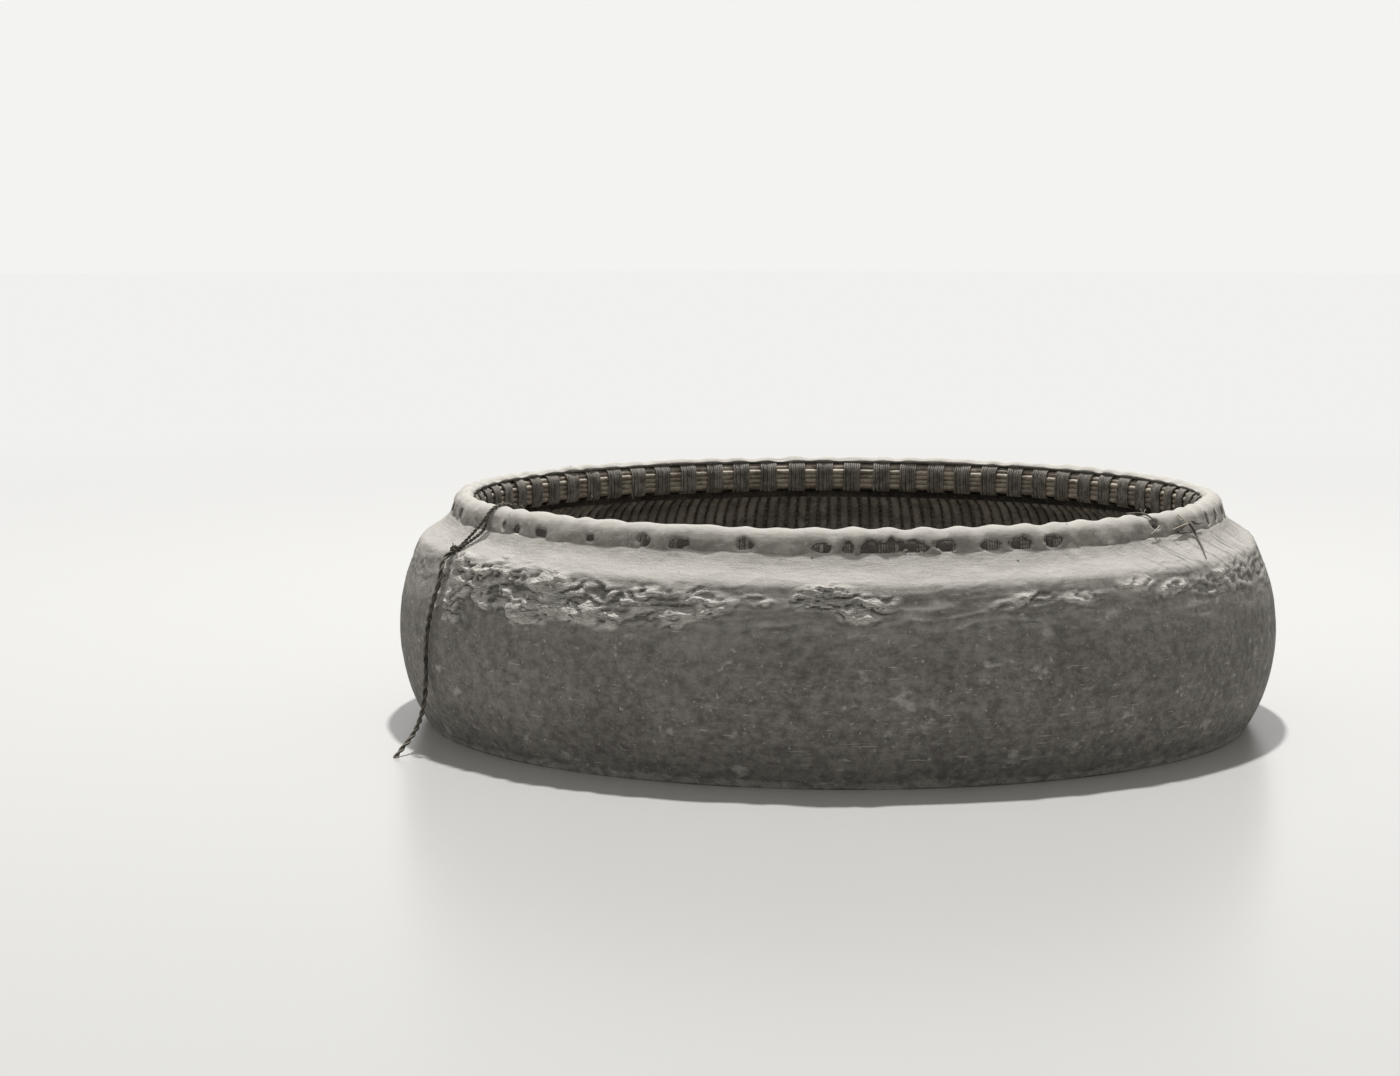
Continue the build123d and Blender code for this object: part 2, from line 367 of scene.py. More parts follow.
def all_joined(surfaces: Sequence[Surface]) -> Surface:
    """Several surfaces as one, without their values.

    Args:
        surfaces: The surfaces, in the order in which they are wanted.

    Returns:
        One surface with all their points and faces.
    """
    faces: list[tuple[int, ...]] = []
    shift = 0
    for surface in surfaces:
        faces += [tuple(index + shift for index in face) for face in surface.faces]
        shift += len(surface.points)
    return Surface(np.concatenate([surface.points for surface in surfaces]), faces)


def laid_rope(path: np.ndarray, radius: float, pitch: float, sides: int) -> Surface:
    """A rope of two strands laid round each other along a path.

    Args:
        path: Points that the middle of the rope follows, evenly spaced.
        radius: Outer radius of the rope.
        pitch: Length in which a strand goes once round.
        sides: Sides of each strand.

    Returns:
        The strands as one surface.
    """
    first, second = frames(path)
    strand = radius / 2
    strands = []
    for start in (0, pi):
        turn = (reach_along(path) * 2 * pi / pitch + start)[:, None]
        centre = path + strand * (np.cos(turn) * first + np.sin(turn) * second)
        strands.append(tube(centre, strand, sides, twist=-2 * pi / pitch))
    return all_joined(strands)


# Node trees


class Nodes:
    """Adds nodes to one tree and links them."""

    def __init__(self, tree: bpy.types.NodeTree) -> None:
        """Keeps the tree."""
        self.tree = tree

    def link(self, output: Socket, target: Socket) -> None:
        """Links an output to an input."""
        self.tree.links.new(output, target)

    def add(self, kind: str, inputs: dict[Any, Any] | None = None, **settings: Any) -> bpy.types.Node:
        """A new node.

        Args:
            kind: Its type.
            inputs: Values or output sockets for its inputs, by name or number.
            settings: Values for its own properties.

        Returns:
            The node.
        """
        node = self.tree.nodes.new(kind)
        for name, value in settings.items():
            setattr(node, name, value)
        for key, value in (inputs or {}).items():
            if isinstance(value, Socket):
                self.link(value, node.inputs[key])
            else:
                node.inputs[key].default_value = value
        return node

    def group(self, name: str, inputs: dict[str, Any]) -> Any:
        """Output sockets of a shared node group."""
        return self.add("ShaderNodeGroup", inputs, node_tree=GROUPS[name]).outputs

    def attribute(self, name: str) -> Socket:
        """A value kept on the mesh."""
        return self.add("ShaderNodeAttribute", attribute_name=name).outputs["Fac"]

    def math(self, operation: str, *values: Any) -> Socket:
        """Result of a Math node on one to three values or sockets."""
        return self.add("ShaderNodeMath", dict(enumerate(values)), operation=operation).outputs[0]

    def vector_math(self, operation: str, inputs: dict[Any, Any]) -> Any:
        """Output sockets of a Vector Math node."""
        return self.add("ShaderNodeVectorMath", inputs, operation=operation).outputs

    def times(self, first: Any, second: Any) -> Socket:
        """One value times another."""
        return self.math("MULTIPLY", first, second)

    def plus(self, total: Any, value: Any, share: Any) -> Socket:
        """A total with a share of a value added to it."""
        return self.math("MULTIPLY_ADD", value, share, total)

    def centred(self, value: Any) -> Socket:
        """A value less a half."""
        return self.math("SUBTRACT", value, 0.5)

    def ramp(self, value: Any, low: Any, high: Any, start: float = 0.0, end: float = 1.0) -> Socket:
        """A value carried smoothly from the range low to high into start to end."""
        inputs = {"Value": value, "From Min": low, "From Max": high, "To Min": start, "To Max": end}
        return self.add("ShaderNodeMapRange", inputs, interpolation_type="SMOOTHSTEP").outputs[0]

    def blend(self, factor: Any, first: Any, second: Any) -> Socket:
        """Two colours, each a socket or red, green and blue, mixed by a factor."""
        pair = [(*colour, 1.0) if isinstance(colour, tuple) else colour for colour in (first, second)]
        return self.add("ShaderNodeMix", {0: factor, 6: pair[0], 7: pair[1]}, data_type="RGBA").outputs[2]

    def noise(self, vector: Any, scale: Any, detail: float = 3.0, roughness: float = 0.55) -> Socket:
        """Value of a noise texture, from 0 to 1."""
        inputs = {"Vector": vector, "Scale": scale, "Detail": detail, "Roughness": roughness}
        return self.add("ShaderNodeTexNoise", inputs).outputs[0]

    def stretched(self, vector: Any, scale: Triple) -> Socket:
        """Coordinates stretched along each axis."""
        return self.add("ShaderNodeMapping", {"Vector": vector, "Scale": scale}).outputs[0]

    def axes(self, vector: Any) -> Any:
        """The three parts of a vector, as sockets."""
        return self.add("ShaderNodeSeparateXYZ", {0: vector}).outputs


def new_group(
    name: str, kind: str, inputs: dict[str, tuple[str, Any]], outputs: dict[str, str]
) -> tuple[Nodes, Any, Any]:
    """An empty node group with its sockets.

    Args:
        name: Name of the group.
        kind: Type of the tree.
        inputs: Socket type and default for each input.
        outputs: Socket type for each output.

    Returns:
        The group's nodes, the sockets that bring its inputs and the sockets that take its outputs.
    """
    tree = bpy.data.node_groups.new(name, kind)
    for label, (socket_type, default) in inputs.items():
        socket = tree.interface.new_socket(name=label, in_out="INPUT", socket_type=socket_type)
        if default is not None:
            socket.default_value = default
    for label, socket_type in outputs.items():
        tree.interface.new_socket(name=label, in_out="OUTPUT", socket_type=socket_type)
    nodes = Nodes(tree)
    return nodes, nodes.add("NodeGroupInput").outputs, nodes.add("NodeGroupOutput").inputs


def mottle_group() -> bpy.types.NodeTree:
    """Broad and fine mottling for every weathered finish, as a mask and a height.

    Returns:
        The tree.
    """
    inputs = {"Vector": (VECTOR, None), "Scale": (FLOAT, 8.0), "Fine": (FLOAT, 0.4)}
    nodes, given, out = new_group("mottle", "ShaderNodeTree", inputs, {"Mask": FLOAT, "Height": FLOAT})
    broad = nodes.noise(given["Vector"], given["Scale"], 4.0, 0.6)
    fine = nodes.noise(given["Vector"], nodes.times(given["Scale"], 9.0), 3.0, 0.6)
    mixed = nodes.plus(broad, nodes.centred(fine), given["Fine"])
    nodes.link(nodes.ramp(mixed, 0.3, 0.7), out["Mask"])
    nodes.link(mixed, out["Height"])
    return nodes.tree


def dust_group() -> bpy.types.NodeTree:
    """Pale dust that lies on faces that look up, broken by noise.

    Returns:
        The tree.
    """
    inputs = {"Vector": (VECTOR, None), "Low": (FLOAT, 0.1), "High": (FLOAT, 0.9)}
    nodes, given, out = new_group("dust", "ShaderNodeTree", inputs, {"Mask": FLOAT})
    facing = nodes.axes(nodes.add("ShaderNodeNewGeometry").outputs["Normal"])[2]
    broken = nodes.plus(facing, nodes.noise(given["Vector"], 22.0, 5.0, 0.65), 0.4)
    up = nodes.math("SUBTRACT", broken, 0.2)
    nodes.link(nodes.ramp(up, given["Low"], given["High"]), out["Mask"])
    return nodes.tree


def streaks_group() -> bpy.types.NodeTree:
    """Slanting strokes where the bitumen was wiped down over the right end of the shoulder.

    Returns:
        The tree.
    """
    nodes, given, out = new_group("streaks", "ShaderNodeTree", {"Vector": (VECTOR, None)}, {"Mask": FLOAT})
    place = nodes.axes(given["Vector"])
    round_hull = nodes.vector_math("DOT_PRODUCT", {0: given["Vector"], 1: (0.5, 0.866, 0.0)})["Value"]
    across = nodes.times(nodes.math("ADD", round_hull, place[2]), 27.0)
    along = nodes.times(nodes.math("SUBTRACT", round_hull, place[2]), 5.0)
    slanting = nodes.add("ShaderNodeCombineXYZ", {0: across, 1: along}).outputs[0]
    strokes = nodes.ramp(nodes.noise(slanting, 1.0, 4.0, 0.6), 0.47, 0.72)
    near = nodes.times(nodes.ramp(place[0], 0.85, 1.15), nodes.ramp(place[2], 0.80, 0.86))
    shoulder = nodes.times(near, nodes.ramp(place[2], 0.97, 1.0, 1.0, 0.0))
    nodes.link(nodes.times(strokes, shoulder), out["Mask"])
    return nodes.tree


# Finishes


@dataclass(frozen=True)
class Base:
    """What every finish starts from.

    Attributes:
        nodes: Adds nodes to the material.
        vector: Object coordinates.
        mottle: Mask of the mottling.
        height: Height of the mottling.
        dust: Mask of the dust.
    """

    nodes: Nodes
    vector: Socket
    mottle: Socket
    height: Socket
    dust: Socket


@dataclass(frozen=True)
class Finish:
    """A weathered natural finish.

    Attributes:
        name: Name of the material.
        dark: Colour of its hollows.
        light: Colour of its face.
        dusty: Colour of the dust on it.
        roughness: Roughness of the face.
        scale: Mottles per metre.
        bump: Depth of the fine relief, in metres.
    """

    name: str
    dark: Triple
    light: Triple
    dusty: Triple
    roughness: float
    scale: float
    bump: float

    def material(self) -> bpy.types.Material:
        """Makes the material.

        Returns:
            The finish as a material.
        """
        material = bpy.data.materials.new(self.name)
        material.use_nodes = True
        material.diffuse_color = (*self.light, 1.0)
        nodes = Nodes(material.node_tree)
        vector = nodes.add("ShaderNodeTexCoord").outputs["Object"]
        mottle = nodes.group("mottle", {"Vector": vector, "Scale": self.scale})
        dust = nodes.group("dust", {"Vector": vector})["Mask"]
        colour, height = self.coloured(Base(nodes, vector, mottle["Mask"], mottle["Height"], dust))
        bump = nodes.add("ShaderNodeBump", {"Height": height, "Distance": self.bump, "Strength": 1.0})
        face = material.node_tree.nodes["Principled BSDF"].inputs
        nodes.link(colour, face["Base Color"])
        nodes.link(bump.outputs[0], face["Normal"])
        face["Roughness"].default_value = self.roughness
        return material

    def coloured(self, base: Base) -> tuple[Socket, Socket]:
        """Colour of the finish, and the height for its bump."""
        colour = base.nodes.blend(base.mottle, self.dark, self.light)
        return base.nodes.blend(base.dust, colour, self.dusty), base.height


@dataclass(frozen=True)
class Marks:
    """Small pale marks on the bitumen, set by a noise.

    Attributes:
        stretch: Stretch of the noise along X, Y and Z.
        scale: Its scale.
        detail: Its detail.
        roughness: Its roughness.
        low: Value at which a mark begins.
        high: Value at which it is full.
        strength: How much it covers.
    """

    stretch: Triple
    scale: float
    detail: float
    roughness: float
    low: float
    high: float
    strength: float

    def mask(self, base: Base) -> Socket:
        """The marks, as a mask.

        Args:
            base: What every finish starts from.

        Returns:
            Values from 0 to the marks' strength.
        """
        place = base.nodes.stretched(base.vector, self.stretch)
        noise = base.nodes.noise(place, self.scale, self.detail, self.roughness)
        return base.nodes.ramp(noise, self.low, self.high, 0.0, self.strength)


FLECKS = Marks((1.0, 1.0, 1.0), 55.0, 2.0, 0.5, 0.66, 0.74, 0.42)
SCRATCHES = Marks((13.0, 13.0, 110.0), 1.0, 2.0, 0.5, 0.69, 0.75, 0.45)
SCRAPES = Marks((6.0, 6.0, 170.0), 1.0, 3.0, 0.55, 0.66, 0.72, 0.5)
SMUDGES = Marks((1.0, 1.0, 1.7), 8.5, 5.0, 0.62, 0.60, 0.71, 0.45)


@dataclass(frozen=True)
class TarFinish(Finish):
    """Dusty bitumen with pale crests (dust and painted highlight), flecks, scratches and a damp band at the
    waterline that is also painted contact shadow.

    Attributes:
        wet_and_contact_shadow: Colour of the damp band at the waterline, darkened also as painted contact
            shadow.
        pit: Colour of the pits under the rim.
        worn_and_hollow_shade: Colour where the coat is worn away, darkened as painted shade in the hollow.
    """

    wet_and_contact_shadow: Triple = (0.05, 0.045, 0.038)
    pit: Triple = (0.05, 0.042, 0.034)
    worn_and_hollow_shade: Triple = (0.045, 0.038, 0.031)

    def coloured(self, base: Base) -> tuple[Socket, Socket]:
        """Colour of the tar, and the height for its bump.

        Args:
            base: What every finish starts from.

        Returns:
            The colour and the height.
        """
        nodes, vector = base.nodes, base.vector
        height = nodes.axes(vector)[2]
        brushed = nodes.noise(nodes.stretched(vector, (1.0, 1.0, 1.35)), 25.0, 10.0, 0.78)
        grain = nodes.noise(vector, 95.0, 3.0, 0.6)
        # Worn spots: the coat is worn away there, and they are painted near black as shade in the hollow.
        worn_and_hollow_shade = nodes.ramp(nodes.plus(nodes.attribute("worn"), nodes.centred(grain), 0.9), 0.30, 0.62)
        streaks = nodes.group("streaks", {"Vector": vector})["Mask"]
        colour = self.washed(base, brushed, height, self.marked(base, brushed, height))
        colour = nodes.blend(nodes.times(base.dust, 0.85), colour, self.dusty)
        colour = nodes.blend(nodes.times(streaks, 0.5), colour, self.dark)
        pit = nodes.add("ShaderNodeTexVoronoi", {"Vector": vector, "Scale": 11.0}).outputs["Distance"]
        under_rim = nodes.ramp(nodes.plus(height, nodes.noise(vector, 2.3, 2.0), 0.12), 0.95, 0.98)
        pits = nodes.times(nodes.ramp(pit, 0.04, 0.075, 0.8, 0.0), under_rim)
        colour = nodes.blend(pits, colour, self.pit)
        # Painted shade in the worn hollows.
        colour = nodes.blend(nodes.times(worn_and_hollow_shade, nodes.ramp(grain, 0.35, 0.62, 0.98, 0.84)), colour, self.worn_and_hollow_shade)
        rough = nodes.plus(self.creases(base), brushed, 0.9)
        rough = nodes.plus(rough, nodes.noise(vector, 140.0, 3.0, 0.6), 0.25)
        rough = nodes.plus(rough, nodes.times(worn_and_hollow_shade, grain), -1.2)
        rough = nodes.plus(rough, streaks, -0.6)
        scored = nodes.noise(nodes.stretched(vector, SCRATCHES.stretch), 1.1, 3.0)
        return colour, nodes.plus(rough, scored, 0.35)

    def marked(self, base: Base, brushed: Socket, height: Socket) -> Socket:
        """Cloudy face of the tar with pale crests, dust and painted highlight, and marks.

        Args:
            base: What every finish starts from.
            brushed: Noise of the brushed tar.
            height: Height on the object.

        Returns:
            The colour.
        """
        nodes = base.nodes
        clouds = nodes.plus(nodes.plus(0.37, base.mottle, 0.22), nodes.centred(brushed), 2.8)
        colour = nodes.blend(nodes.ramp(clouds, 0.0, 1.0), self.dark, self.light)
        # Crests of the relief painted pale: dust on them and a painted highlight on their lit tops.
        ridge = nodes.ramp(nodes.plus(nodes.attribute("relief"), base.height, 0.004), 0.002, 0.012)
        ridge_dust_and_highlight = nodes.times(ridge, 0.88)
        scrapes = nodes.times(SCRAPES.mask(base), nodes.ramp(height, 0.42, 0.60, 1.0, 0.15))
        for mask in (ridge_dust_and_highlight, FLECKS.mask(base), SCRATCHES.mask(base), scrapes, SMUDGES.mask(base)):
            colour = nodes.blend(mask, colour, self.dusty)
        return colour

    def washed(self, base: Base, brushed: Socket, height: Socket, colour: Socket) -> Socket:
        """A colour with the pale tide mark and the damp band, also painted contact shadow, over it.

        Args:
            base: What every finish starts from.
            brushed: Noise of the brushed tar.
            height: Height on the object.
            colour: The colour above the water.

        Returns:
            The colour.
        """
        nodes = base.nodes
        lapped = nodes.plus(height, nodes.noise(base.vector, 9.0, 6.0, 0.6), 0.06)
        tide = nodes.ramp(lapped, WATERLINE + 0.046, WATERLINE + 0.062, 0.42, 0.0)
        tide = nodes.times(tide, nodes.ramp(brushed, 0.38, 0.60, 0.3, 1.0))
        colour = nodes.blend(tide, colour, self.dusty)
        # Dark band just above the waterline: damp tar and painted contact shadow where the hull meets the
        # floor.
        wavy = nodes.plus(height, nodes.noise(base.vector, 3.0, 4.0), 0.02)
        wet_and_contact_shadow = nodes.ramp(wavy, WATERLINE + 0.008, WATERLINE + 0.016, 0.85, 0.0)
        return nodes.blend(wet_and_contact_shadow, colour, self.wet_and_contact_shadow)

    def creases(self, base: Base) -> Socket:
        """Fine creases, strongest on the folds.

        Args:
            base: What every finish starts from.

        Returns:
            Their height.
        """
        nodes, vector = base.nodes, base.vector
        drift = nodes.add("ShaderNodeCombineXYZ", {2: nodes.times(nodes.noise(vector, 8.0, 2.0), 0.05)})
        folded = nodes.vector_math("ADD", {0: vector, 1: drift.outputs[0]})[0]
        waves = nodes.noise(nodes.stretched(folded, (22.0, 22.0, 85.0)), 1.0, 2.0, 0.5)
        crests = nodes.ramp(nodes.math("ABSOLUTE", nodes.centred(waves)), 0.0, 0.11, 1.0, 0.0)
        return nodes.times(crests, nodes.plus(0.04, nodes.attribute("fold"), 0.85))


@dataclass(frozen=True)
class FibreFinish(Finish):
    """Wood, reed or cord with bands across it and a shade of its own on each copy.

    Attributes:
        bands: Bands per metre.
        across: Stretch of the bands along X, Y and Z.
    """

    bands: float = 120.0
    across: Triple = (0.15, 0.15, 1.0)

    def coloured(self, base: Base) -> tuple[Socket, Socket]:
        """Colour of the fibres, and the height for their bump.

        Args:
            base: What every finish starts from.

        Returns:
            The colour and the height.
        """
        nodes = base.nodes
        banded = nodes.noise(nodes.stretched(base.vector, self.across), self.bands, 2.0, 0.6)
        mixed = nodes.plus(base.mottle, nodes.centred(banded), 1.1)
        colour = nodes.blend(nodes.ramp(mixed, 0.0, 1.0), self.dark, self.light)
        colour = nodes.blend(nodes.times(nodes.attribute("shade"), 0.42), colour, self.dark)
        colour = nodes.blend(nodes.times(base.dust, 0.5), colour, self.dusty)
        return colour, nodes.plus(base.height, banded, 0.8)


@dataclass(frozen=True)
class CoilFinish(Finish):
    """Coiled reed: bundles laid round the axis and bound with stitches.

    Attributes:
        pitch: Width of one coil, in metres.
        stitches: Stitches in one turn.
    """

    pitch: float = 0.024
    stitches: float = 420.0

    def coloured(self, base: Base) -> tuple[Socket, Socket]:
        """Colour of the coils, and the height for their bump.

        Args:
            base: What every finish starts from.

        Returns:
            The colour and the height.
        """
        nodes = base.nodes
        place = nodes.axes(base.vector)
        turn = nodes.math("ARCTAN2", place[1], place[0])
        coil = nodes.math("SINE", nodes.times(nodes.attribute("reach"), 2 * pi / self.pitch))
        body = nodes.plus(coil, nodes.math("SINE", nodes.times(turn, self.stitches)), 0.3)
        mixed = nodes.plus(base.mottle, body, 0.28)
        colour = nodes.blend(nodes.ramp(mixed, -0.2, 1.1), self.dark, self.light)
        colour = nodes.blend(nodes.times(base.dust, 0.35), colour, self.dusty)
        return colour, nodes.plus(base.height, body, 0.7)


EVEN = (1.0, 1.0, 1.0)
FINISHES: dict[str, Finish] = {
    "tar": TarFinish(
        "dusty_bitumen", (0.088, 0.081, 0.071), (0.245, 0.228, 0.202), (0.60, 0.57, 0.52), 0.82, 3.0, 0.007
    ),
    "rim": TarFinish(
        "rim_bitumen", (0.145, 0.133, 0.117), (0.27, 0.251, 0.223), (0.60, 0.57, 0.515), 0.8, 5.0, 0.004
    ),
    "rib": FibreFinish(
        "split_branch", (0.165, 0.152, 0.134), (0.39, 0.36, 0.318), (0.44, 0.41, 0.365), 0.7, 9.0, 0.002
    ),
    "withy": FibreFinish(
        "bent_withy", (0.16, 0.13, 0.098), (0.50, 0.44, 0.35), (0.58, 0.53, 0.45),
        0.65, 18.0, 0.0015, 60.0, (1.0, 1.0, 1.6),
    ),
    "cord": FibreFinish(
        "palm_cord", (0.108, 0.097, 0.083), (0.32, 0.29, 0.25), (0.43, 0.40, 0.35),
        0.85, 30.0, 0.002, 160.0, EVEN,
    ),
    "rope": FibreFinish(
        "twisted_rope", (0.022, 0.019, 0.015), (0.12, 0.102, 0.080), (0.34, 0.305, 0.25),
        0.9, 40.0, 0.0015, 260.0, EVEN,
    ),
    "board": FibreFinish(
        "floor_strip", (0.06, 0.047, 0.034), (0.21, 0.17, 0.125), (0.3, 0.26, 0.2),
        0.75, 6.0, 0.002, 26.0, EVEN,
    ),
    # Lower strips: the same wood painted darker as shade under the upper layer.
    "under_board": FibreFinish(
        "floor_strip_below", (0.032, 0.026, 0.019), (0.10, 0.082, 0.061), (0.16, 0.14, 0.11),
        0.8, 6.0, 0.002, 26.0, EVEN,
    ),
    "reed": CoilFinish(
        "coiled_reed", (0.078, 0.071, 0.061), (0.27, 0.247, 0.212), (0.37, 0.34, 0.30), 0.85, 16.0, 0.004
    ),
}
GROUPS: dict[str, bpy.types.NodeTree] = {}
MATERIALS: dict[str, bpy.types.Material] = {}


def dressed(obj: bpy.types.Object, finish: str, slot: Slot, *nodes: str) -> bpy.types.Object:
    """Gives a piece its finish and its body, and hides the CAD nodes that it stands for.

    Args:
        obj: The piece.
        finish: Name of its finish.
        slot: Its material slot in the record; not used.
        nodes: Names of the CAD nodes that it stands for.

    Returns:
        The same piece.
    """
    obj.data.materials.clear()
    obj.data.materials.append(MATERIALS[finish])
    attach(obj, "root")
    if nodes:
        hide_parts(*nodes)
    log.info("%s: %d faces", obj.name, len(obj.data.polygons))
    return obj


# Repeats round the hull


def ring_tree() -> bpy.types.NodeTree:
    """Geometry nodes that repeat a piece round the axis, each copy a little out of line.

    Returns:
        The tree.
    """
    inputs = {
        "Geometry": (GEOMETRY, None),
        "Copies": ("NodeSocketInt", BAYS),
        "Start": (FLOAT, 0.0),
        "Step": (FLOAT, 0.1),
        "Jitter": (FLOAT, 0.0),
        "Wander": (FLOAT, 0.0),
        "Wander Scale": (FLOAT, 6.0),
        "Seed": ("NodeSocketInt", 1),
        "Finish": ("NodeSocketMaterial", None),
    }
    nodes, given, out = new_group("ring_of_copies", "GeometryNodeTree", inputs, {"Geometry": GEOMETRY})
    points = nodes.add("GeometryNodePoints", {"Count": given["Copies"]}).outputs[0]
    index = nodes.add("GeometryNodeInputIndex").outputs[0]
    spread = {2: nodes.times(given["Jitter"], -1.0), 3: given["Jitter"], "Seed": given["Seed"]}
    jitter = nodes.add("FunctionNodeRandomValue", spread).outputs[1]
    turn = nodes.math("ADD", nodes.plus(given["Start"], index, given["Step"]), jitter)
    around = nodes.add("ShaderNodeCombineXYZ", {2: turn}).outputs[0]
    placed = {"Points": points, "Instance": given["Geometry"], "Rotation": around}
    copies = nodes.add("GeometryNodeInstanceOnPoints", placed).outputs[0]
    shades = {2: 0.0, 3: 1.0, "Seed": nodes.math("ADD", given["Seed"], 7.0)}
    shade = nodes.add("FunctionNodeRandomValue", shades).outputs[1]
    marked = nodes.add(
        "GeometryNodeStoreNamedAttribute",
        {"Geometry": copies, "Name": "shade", "Value": shade},
        data_type="FLOAT",
        domain="INSTANCE",
    )
    solid = nodes.add("GeometryNodeRealizeInstances", {0: marked.outputs[0]}).outputs[0]
    place = nodes.add("GeometryNodeInputPosition").outputs[0]
    wander = {"Vector": place, "Scale": given["Wander Scale"], "Detail": 1.0}
    noise = nodes.add("ShaderNodeTexNoise", wander).outputs["Color"]
    centred = nodes.vector_math("SUBTRACT", {0: noise, 1: (0.5, 0.5, 0.5)})[0]
    offset = nodes.vector_math("SCALE", {0: centred, "Scale": given["Wander"]})[0]
    moved = nodes.add("GeometryNodeSetPosition", {"Geometry": solid, "Offset": offset}).outputs[0]
    painted = nodes.add("GeometryNodeSetMaterial", {"Geometry": moved, "Material": given["Finish"]})
    nodes.link(painted.outputs[0], out[0])
    return nodes.tree


def repeated(obj: bpy.types.Object, **inputs: Any) -> bpy.types.Object:
    """Runs the ring tree on a piece and keeps its result as a plain mesh.

    Args:
        obj: The piece to repeat, in its place at angle 0.
        inputs: Values for the tree's inputs, with _ for a space.

    Returns:
        The same object with all copies in its mesh.
    """
    modifier = obj.modifiers.new("copies", "NODES")
    modifier.node_group = GROUPS["ring"]
    for item in GROUPS["ring"].interface.items_tree:
        key = item.name.replace(" ", "_")
        if item.in_out == "INPUT" and key in inputs:
            modifier[item.identifier] = inputs[key]
    obj.update_tag()
    graph = bpy.context.evaluated_depsgraph_get()
    graph.update()
    mesh = bpy.data.meshes.new_from_object(obj.evaluated_get(graph))
    obj.modifiers.clear()
    obj.data = mesh
    mesh.name = obj.name
    return obj


# Coat


@dataclass(frozen=True)
class Patch:
    """A place on the coat: a worn spot of the rim, or a heap of folds and lumps that the bitumen ran into.

    Attributes:
        bearing: Angle of its middle round the hull, in degrees.
        height: Height of its middle.
        width: Half its width along the hull, in metres.
        tall: Half its height.
        strength: How strong it is, from 0 to 1.
    """

    bearing: float
    height: float
    width: float
    tall: float
    strength: float = 1.0

    def away(self, points: np.ndarray, radius: float | np.ndarray) -> np.ndarray:
        """How far each point, at a radius, is from the middle, with 1 at the patch's edge."""
        across = turn_from(points, self.bearing) * radius / self.width
        return np.hypot(across, (points[:, 2] - self.height) / self.tall)


